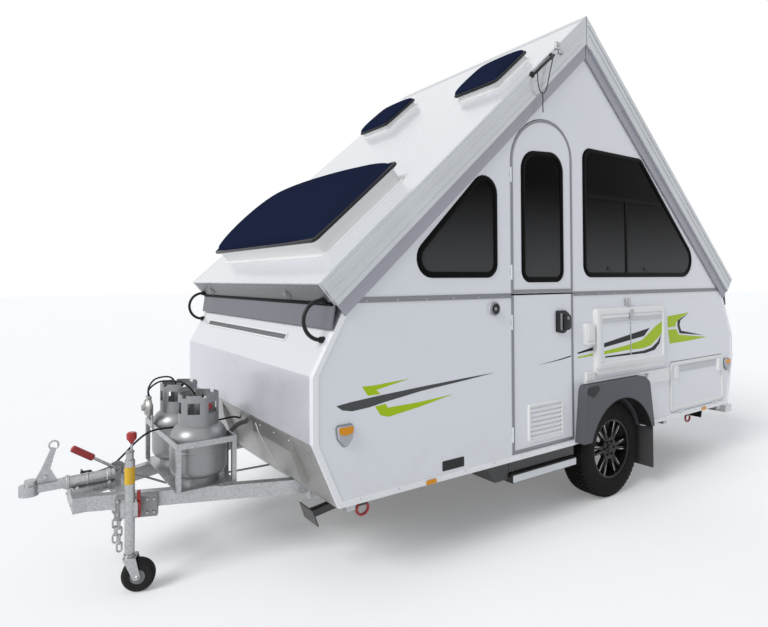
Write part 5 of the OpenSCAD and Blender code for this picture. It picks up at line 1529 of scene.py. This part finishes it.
class CAMPER_OT_jockey(bpy.types.Operator):
    """Dresses the jockey wheel: knob, band, lever and hub"""
    bl_idname = "camper.jockey"
    bl_label = "Jockey"

    def execute(self, context):
        low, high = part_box("jockey_inner")
        axis = Vector(((low.x + high.x) / 2, (low.y + high.y) / 2, 0))
        lean = math.radians(22.02)
        along = Vector((math.cos(lean), -math.sin(lean), 0))
        across = Vector((math.sin(lean), math.cos(lean), 0))
        top = axis + along * 0.008
        Shape().turned([(0.728, 0.0066), (0.738, 0.012), (0.752, 0.0232), (0.764, 0.0245), (0.778, 0.0245),
                        (0.7855, 0.017), (0.7865, 0)], top, UP, 28).make("jockey_knob", "red_paint", "jockey_tube", 40)
        Shape().turned([(0.532, 0.0238), (0.532, 0.0247), (0.616, 0.0247), (0.616, 0.0238)], axis, UP, 40).make(
            "jockey_band", "yellow_paint", "jockey_tube", 40)
        lever = Shape()
        lever.loft([[axis + along * (0.040 + x) + across * (0.012 + y) + UP * z for x, y in
                     ((-w, -0.006), (w, -0.006), (w, 0.006), (-w, 0.006))]
                    for w, z in ((0.006, 0.357), (0.009, 0.362), (0.0095, 0.44), (0.0075, 0.486), (0.005, 0.491))])
        lever.turned([(-0.004, 0.013), (0.012, 0.013), (0.015, 0.009)],
                     axis + along * 0.040 + across * 0.006 + UP * 0.425, -across, 16)
        lever.make("jockey_lever", "red_paint", "jockey_tube", 40)
        crank = Shape()
        for z in (0.6475, 0.689):
            crank.turned([(0, 0.0185), (0, 0.0205), (0.002, 0.022), (0.006, 0.022), (0.008, 0.0205), (0.008, 0.0185)],
                         axis + UP * (z - 0.004), UP, 28)
        crank.make("jockey_collars", "zinc_dark", "jockey_tube", 40)
        low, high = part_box("jockey_wheel")
        hub = (low + high) / 2
        discs = Shape()
        for side in (-1, 1):
            discs.turned([(0.0285, 0.036), (0.0300, 0.035), (0.0306, 0.027), (0.0300, 0.018), (0.0312, 0.015),
                          (0.0312, 0)], hub, across * side, 32)
        discs.make("jockey_wheel_discs", "hose_grey", "jockey_wheel", 40)
        low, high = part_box("jockey_fork")
        reach = max(abs((Vector((x, y, 0)) - Vector((hub.x, hub.y, 0))).dot(across))
                    for x in (low.x, high.x) for y in (low.y, high.y))
        spots = []
        for side in (-1, 1):
            hit = struck("jockey_fork", hub + across * side * (reach + 0.05), across * -side)
            if hit:
                spots.append((hit[0], tuple(across * side)))
        if spots:
            studs("jockey_axle_nuts", spots, "zinc", "jockey_fork", 0.012, 0.007, 6)
        plate = []
        bar = Vector((NOSE - 0.61, -0.1924, 0))
        for x in (-0.066, 0.075, 0.106):
            for z in (0.362, 0.428):
                plate.append((bar + along * x - across * 0.0651 + UP * z, tuple(-across)))
        studs("jockey_clamp_bolts", plate, "zinc", "trailer", 0.010, 0.008, 6)
        return {"FINISHED"}


class CAMPER_OT_underside(bpy.types.Operator):
    """Fits the step tread, tie-down rings, brackets and pads under the floor"""
    bl_idname = "camper.underside"
    bl_label = "Underside"

    def execute(self, context):
        low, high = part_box("entry_step")
        Shape().block((low.x + 0.004, low.y - 0.005, low.z + 0.004), (high.x - 0.004, low.y + 0.0003, high.z - 0.004),
                      0.002).make("step_nosing", "skirt_alloy", "entry_step")
        rib = Shape()
        rib.block((low.x + 0.02, low.y + 0.010, high.z - 0.0002), (high.x - 0.02, low.y + 0.018, high.z + 0.003))
        row_of("step_ribs", rib, 9, (0, 0.022, 0), "rubber", "entry_step")
        cheek = Shape()
        cheek.flat(rounded([(NOSE + 1.12, 0.4485), (NOSE + 1.20, 0.345), (NOSE + 1.315, 0.345),
                            (NOSE + 1.315, 0.4485)], 0.008, 3), -0.985, -0.80, 0.004)
        cheek.block((NOSE + 1.318, -0.982, high.z + 0.0095), (NOSE + 1.932, -0.9745, 0.4498), 0.002)
        cheek.make("step_cheek", "black_paint")
        rings, plates = Shape(), Shape()
        for x in (NOSE + 0.30, NOSE + 3.44):
            for side in (-1, 1):
                centre = Vector((x, side * 0.955, 0.400))
                rings.tube([centre + Vector((0.034 * math.cos(a), 0, 0.030 * math.sin(a)))
                            for a in turns(28, 1)], 0.0075, 10, False)
                plates.block((x - 0.022, side * 0.955 - 0.012, 0.420), (x + 0.022, side * 0.955 + 0.012, 0.4499),
                             0.002)
                plates.block((x - 0.075, side * 0.955 - 0.016, 0.4405), (x + 0.075, side * 0.955 + 0.016, 0.4499),
                             0.002)
        rings.make("tie_rings", "red_paint", "trailer", 60)
        plates.make("tie_plates", "black_paint")
        for body in ("steady_front_left", "steady_front_right", "steady_rear_left", "steady_rear_right"):
            front, side = "front" in body, -1 if "left" in body else 1
            flip = 1 if front else -1
            pivot = Vector((NOSE + 0.47 if front else TAIL - 0.47, side * 0.72, 0.384))
            arm = Vector((-math.cos(STEADY_DIP) * flip, 0, -math.sin(STEADY_DIP)))
            lift = Vector((-arm.z * (1 if arm.x > 0 else -1), 0, abs(arm.x)))
            nut = Shape()
            for s in (-1, 1):
                nut.turned([(0, 0.015), (0.009, 0.015), (0.011, 0.011)], pivot + Vector((0, s * 0.0258, 0)), (0, s, 0),
                           6)
            nut.make(f"{body}_nuts", "zinc", "trailer")
            rib = Shape()
            rib.loft([[pivot + arm * at + lift * h + Vector((0, y, 0)) for y, h in
                       ((-0.004, 0.0), (0.004, 0.0), (0.004, 0.016 * f), (-0.004, 0.016 * f))]
                      for at, f in ((0.06, 0.9), (0.12, 1.3), (0.26, 1.3), (0.335, 1.8))])
            rib.make(f"{body}_rib", "black_paint", body)
        spots = []
        for x in [NOSE + 0.55 + 0.38 * k for k in range(9)]:
            if abs(x - AXLE.x) > 0.48:
                for y in (-0.93, 0.93):
                    spots.append((Vector((x, y, SILL)), (0, 0, -1)))
        studs("floor_bolts", spots, "zinc_dark", "trailer", 0.009, 0.006, 6)
        return {"FINISHED"}


class CAMPER_OT_tail(bpy.types.Operator):
    """Dresses the lamps, the back wall and the right side"""
    bl_idname = "camper.tail"
    bl_label = "Back and right side"

    def execute(self, context):
        amber, clear, bezel = Shape(), Shape(), Shape()
        for side in (-1, 1):
            near = side * (SIDE + 0.0218)
            for x in (NOSE + 0.17, TAIL - 0.118):
                shield = [(x - 0.041, 0.8365), (x + 0.041, 0.8365), (x + 0.036, 0.806), (x + 0.012, 0.799),
                          (x - 0.012, 0.799), (x - 0.036, 0.806)]
                amber.flat(rounded(shield, 0.006, 3), near, near + side * 0.002)
                rim = rounded([(x - 0.047, 0.8425), (x - 0.0375, 0.7795), (x, 0.732), (x + 0.0375, 0.7795),
                               (x + 0.047, 0.8425)], [0.013, 0.012, 0.014, 0.012, 0.013], 3)
                path = at_side(rim if side < 0 else reversed(rim), side * SIDE)
                bezel.sweep(path, [(-0.0025, -0.0004), (-0.0025, 0.008), (0.003, 0.006), (0.004, -0.0004)], True,
                            LEFT if side < 0 else RIGHT)
            small = side * (SIDE + 0.0098)
            for x in (NOSE + 0.70, TAIL - 0.52):
                amber.flat(box_outline(x, SILL + 0.015, 0.069, 0.023, 0.008, 3), small, small + side * 0.003)
            low = 0.80 if side > 0 else -0.89
            amber.block((TAIL + 0.0235, low + 0.004, 0.974), (TAIL + 0.0265, low + 0.086, 1.016), 0.001)
            clear.block((TAIL + 0.0235, low + 0.004, 0.874), (TAIL + 0.0265, low + 0.086, 0.908), 0.001)
            ring = [Vector((TAIL, y, z)) for y, z in box_outline(low + 0.045, 0.945, 0.096, 0.156, 0.010)]
            bezel.sweep(ring, [(-0.002, -0.0004), (-0.002, 0.016), (0.004, 0.012), (0.006, -0.0004)], True,
                        Vector((1, 0, 0)))
        amber.make("amber_lenses", "amber_lens", "trailer", 40)
        clear.make("clear_lenses", "clear_lens", "trailer", 40)
        bezel.make("lamp_bezels", "trim_alloy", "trailer", 40)
        low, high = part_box("rear_bumper")
        caps = Shape()
        for y in (low.y, high.y):
            side = 1 if y > 0 else -1
            caps.block((TAIL - 0.0615, y - side * 0.0004, 0.3585), (high.x + 0.0002, y + side * 0.092, 0.4215), 0.006)
        caps.make("bumper_caps", "fitting_white")
        Shape().block((TAIL - 0.0002, -0.21, 0.895), (TAIL + 0.004, 0.21, 1.005), 0.001).make(
            "blank_rear_plate", "fitting_white")
        light = Shape()
        light.block((TAIL - 0.0002, -0.05, 1.010), (TAIL + 0.022, 0.05, 1.030), 0.004)
        for y in (-0.19, 0.19):
            light.turned([(0.0035, 0.008), (0.0065, 0.008), (0.0075, 0.005)], (TAIL, y, 0.95), (1, 0, 0), 12)
        light.make("plate_lamp", "black_plastic", "trailer", 40)
        x, y = NOSE + 1.2, SIDE + 0.014
        frames, slats = Shape(), Shape()
        for z in (0.70, 1.13):
            ring = at_side(reversed(box_outline(x, z, 0.46, 0.22, 0.012)), y)
            frames.sweep(ring, [(-0.012, -0.0004), (-0.012, 0.008), (-0.004, 0.011), (0.004, 0.008), (0.007, -0.0004)],
                         True, RIGHT)
            for k in range(7):
                b = z - 0.088 + 0.0265 * k
                slats.add([(x - 0.216, y - 0.0002, b), (x + 0.216, y - 0.0002, b), (x + 0.216, y + 0.008, b + 0.003),
                           (x - 0.216, y + 0.008, b + 0.003), (x - 0.216, y - 0.0002, b + 0.019),
                           (x + 0.216, y - 0.0002, b + 0.019)],
                          [(0, 1, 2, 3), (3, 2, 5, 4), (0, 4, 5, 1), (0, 3, 4), (1, 5, 2)])
        frames.make("right_vent_frames", "fitting_white", "trailer", 40)
        slats.make("right_vent_slats", "fitting_white")
        filler = Shape()
        filler.turned([(-0.0003, 0.052), (0.006, 0.052), (0.010, 0.046), (0.010, 0.036), (0.020, 0.034),
                       (0.022, 0.030), (0.022, 0)], (NOSE + 3.25, SIDE, 0.70), RIGHT, 32)
        filler.flat(box_outline(NOSE + 3.62, 0.70, 0.13, 0.15, 0.015), SIDE - 0.0003, SIDE + 0.018)
        filler.flat(box_outline(NOSE + 3.62, 0.708, 0.10, 0.11, 0.010), SIDE + 0.0178, SIDE + 0.024)
        filler.make("right_inlets", "fitting_white", "trailer", 40)
        pad = Shape()
        for side in (-1, 1):
            near = side * (SIDE + 0.0679)
            outline = rounded([(NOSE + 1.980, 0.824), (NOSE + 2.085, 0.827), (NOSE + 2.102, 0.800),
                               (NOSE + 2.032, 0.755), (NOSE + 1.966, 0.784)], 0.01, 3)
            pad.flat(outline, near, near + side * 0.004)
        pad.make("flare_pads", "black_plastic")
        return {"FINISHED"}


def hose(name, points, radius, look, steps=6, ribs=None):
    """A cord or hose along a smooth path, with rings on it where ribs is given."""
    path = smooth_path(points, steps)
    shape = Shape()
    if ribs:
        fine = smooth_path(path, ribs)
        shape.tube(fine, [radius if k % 2 else radius * 0.86 for k in range(len(fine))], 16)
    else:
        shape.tube(path, radius, 12)
    thing = shape.make(name, look, "trailer", 60)
    whole = sum((b - a).length for a, b in zip(path, path[1:]))
    return thing


class CAMPER_OT_cords(bpy.types.Operator):
    """Hangs the gas hoses, the tow cable, the drain hose and the roof strap"""
    bl_idname = "camper.cords"
    bl_label = "Cords"

    def execute(self, context):
        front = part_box("gas_tray")[0].x
        for side, y in ((1, 0.178), (-1, 0.154)):
            valve = Vector((BOTTLE.x - 0.008, side * 0.2, BOTTLE.z + 0.418))
            seat = Vector((front - 0.022, y, 0.862))
            if side > 0:
                points = [seat, seat + Vector((0.004, 0.004, 0.050)), seat + Vector((0.045, 0.016, 0.094)),
                          Vector((valve.x - 0.045, 0.196, 0.958)), Vector((valve.x - 0.006, 0.2, 0.905))]
            else:
                points = [seat, seat + Vector((-0.004, -0.012, 0.045)), Vector((front + 0.018, 0.085, 0.955)),
                          Vector((front + 0.062, -0.040, 0.972)), Vector((valve.x - 0.060, -0.150, 0.975)),
                          Vector((valve.x - 0.016, -0.192, 0.925))]
            hose("gas_pigtail_far" if side > 0 else "gas_pigtail_near", points + [valve + Vector((-0.004, 0, 0))],
                 0.005, "rubber")
        wall = struck("stone_guard", (TIP, 0, 0.70), (1, 0, 0))[0]
        over = [Vector((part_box("gas_tray")[1].x - 0.004, 0, 0.705)), Vector((BOTTLE.x, 0, 0.698)),
                Vector((front + 0.004, 0, 0.705))]
        plug = Shape()
        tail = Vector((-2.300, 0.088, 0.497))
        plug.turned([(-0.022, 0.0085), (-0.004, 0.0095), (0.0, 0.019), (0.006, 0.0215), (0.040, 0.0215),
                     (0.042, 0.024), (0.052, 0.024), (0.054, 0.020), (0.054, 0)], tail, (-1, 0, 0), 28)
        plug.block((-2.352, 0.068, 0.4496), (-2.344, 0.108, 0.526), 0.002)
        plug = plug.make("tow_plug", "black_plastic", "trailer", 40)
        hose("tow_cable", [wall, wall + Vector((-0.05, 0, 0.012))] + over + [
            Vector((-2.035, 0.012, 0.688)), Vector((-2.095, 0.046, 0.632)), Vector((-2.155, 0.075, 0.562)),
            Vector((-2.215, 0.087, 0.514)), tail], 0.0055, "rubber", 4, None)
        mouth = struck("stone_guard", (TIP, -0.10, 0.70), (1, 0, 0))[0]
        bend = [mouth + Vector((-0.122 * math.sin(a), 0, -0.122 * (1 - math.cos(a)))) for a in
                (math.radians(15 * k) for k in range(7))]
        hose("drain_hose", bend + [bend[-1] + Vector((0, 0, -0.06 * k)) for k in (1, 2, 3)], 0.015, "hose_grey",
             3, 6)
        y = -SKIRT_Y - 0.027
        low = Vector((NOSE + 1.527, y, 2.816))
        high = Vector((NOSE + 1.668, y, 2.938))
        dip = Vector((low.x + 0.045, y, 2.690))
        hose("roof_strap", [low, low + Vector((0.002, 0, -0.055)), low + Vector((0.016, 0, -0.106)), dip,
                            dip + Vector((0.036, 0, 0.032)), high + Vector((-0.024, 0, -0.100)),
                            high + Vector((-0.004, 0, -0.04)), high], 0.003, "rubber", 4)
        hose("roof_strap_tail", [dip, dip + Vector((0.003, 0, -0.04)), dip + Vector((0.001, 0, -0.08)),
                                 dip + Vector((0.004, 0, -0.118))], 0.003, "rubber")
        return {"FINISHED"}


class CAMPER_PT_panel(bpy.types.Panel):
    """Lists the steps of the dressing"""
    bl_label = "Camper"
    bl_idname = "CAMPER_PT_panel"
    bl_space_type = "VIEW_3D"
    bl_region_type = "UI"
    bl_category = "Camper"

    def draw(self, context):
        for group in ("camper_colours", "camper_sizes", "camper_stage"):
            settings = getattr(context.scene, group)
            box = self.layout.box()
            for name in settings.bl_rna.properties.keys():
                if name not in ("rna_type", "name"):
                    box.prop(settings, name)
        for step in STEPS:
            self.layout.operator(step.bl_idname)


GROUPS = {"camper_colours": CAMPER_PG_colours, "camper_sizes": CAMPER_PG_sizes, "camper_stage": CAMPER_PG_stage}
STEPS = [CAMPER_OT_stage, CAMPER_OT_finishes, CAMPER_OT_stripes, CAMPER_OT_windows, CAMPER_OT_door, CAMPER_OT_sides,
         CAMPER_OT_roof, CAMPER_OT_nose, CAMPER_OT_wheels, CAMPER_OT_drawbar, CAMPER_OT_jockey, CAMPER_OT_underside,
         CAMPER_OT_tail, CAMPER_OT_cords]


def register():
    for kind in (*GROUPS.values(), *STEPS, CAMPER_PT_panel):
        bpy.utils.register_class(kind)
    for name, kind in GROUPS.items():
        setattr(bpy.types.Scene, name, bpy.props.PointerProperty(type=kind))


def unregister():
    for name in GROUPS:
        delattr(bpy.types.Scene, name)
    for kind in reversed((*GROUPS.values(), *STEPS, CAMPER_PT_panel)):
        bpy.utils.unregister_class(kind)


def main():
    register()
    for step in STEPS:
        part, action = step.bl_idname.split(".")
        getattr(getattr(bpy.ops, part), action)()


if __name__ == "__main__":
    main()
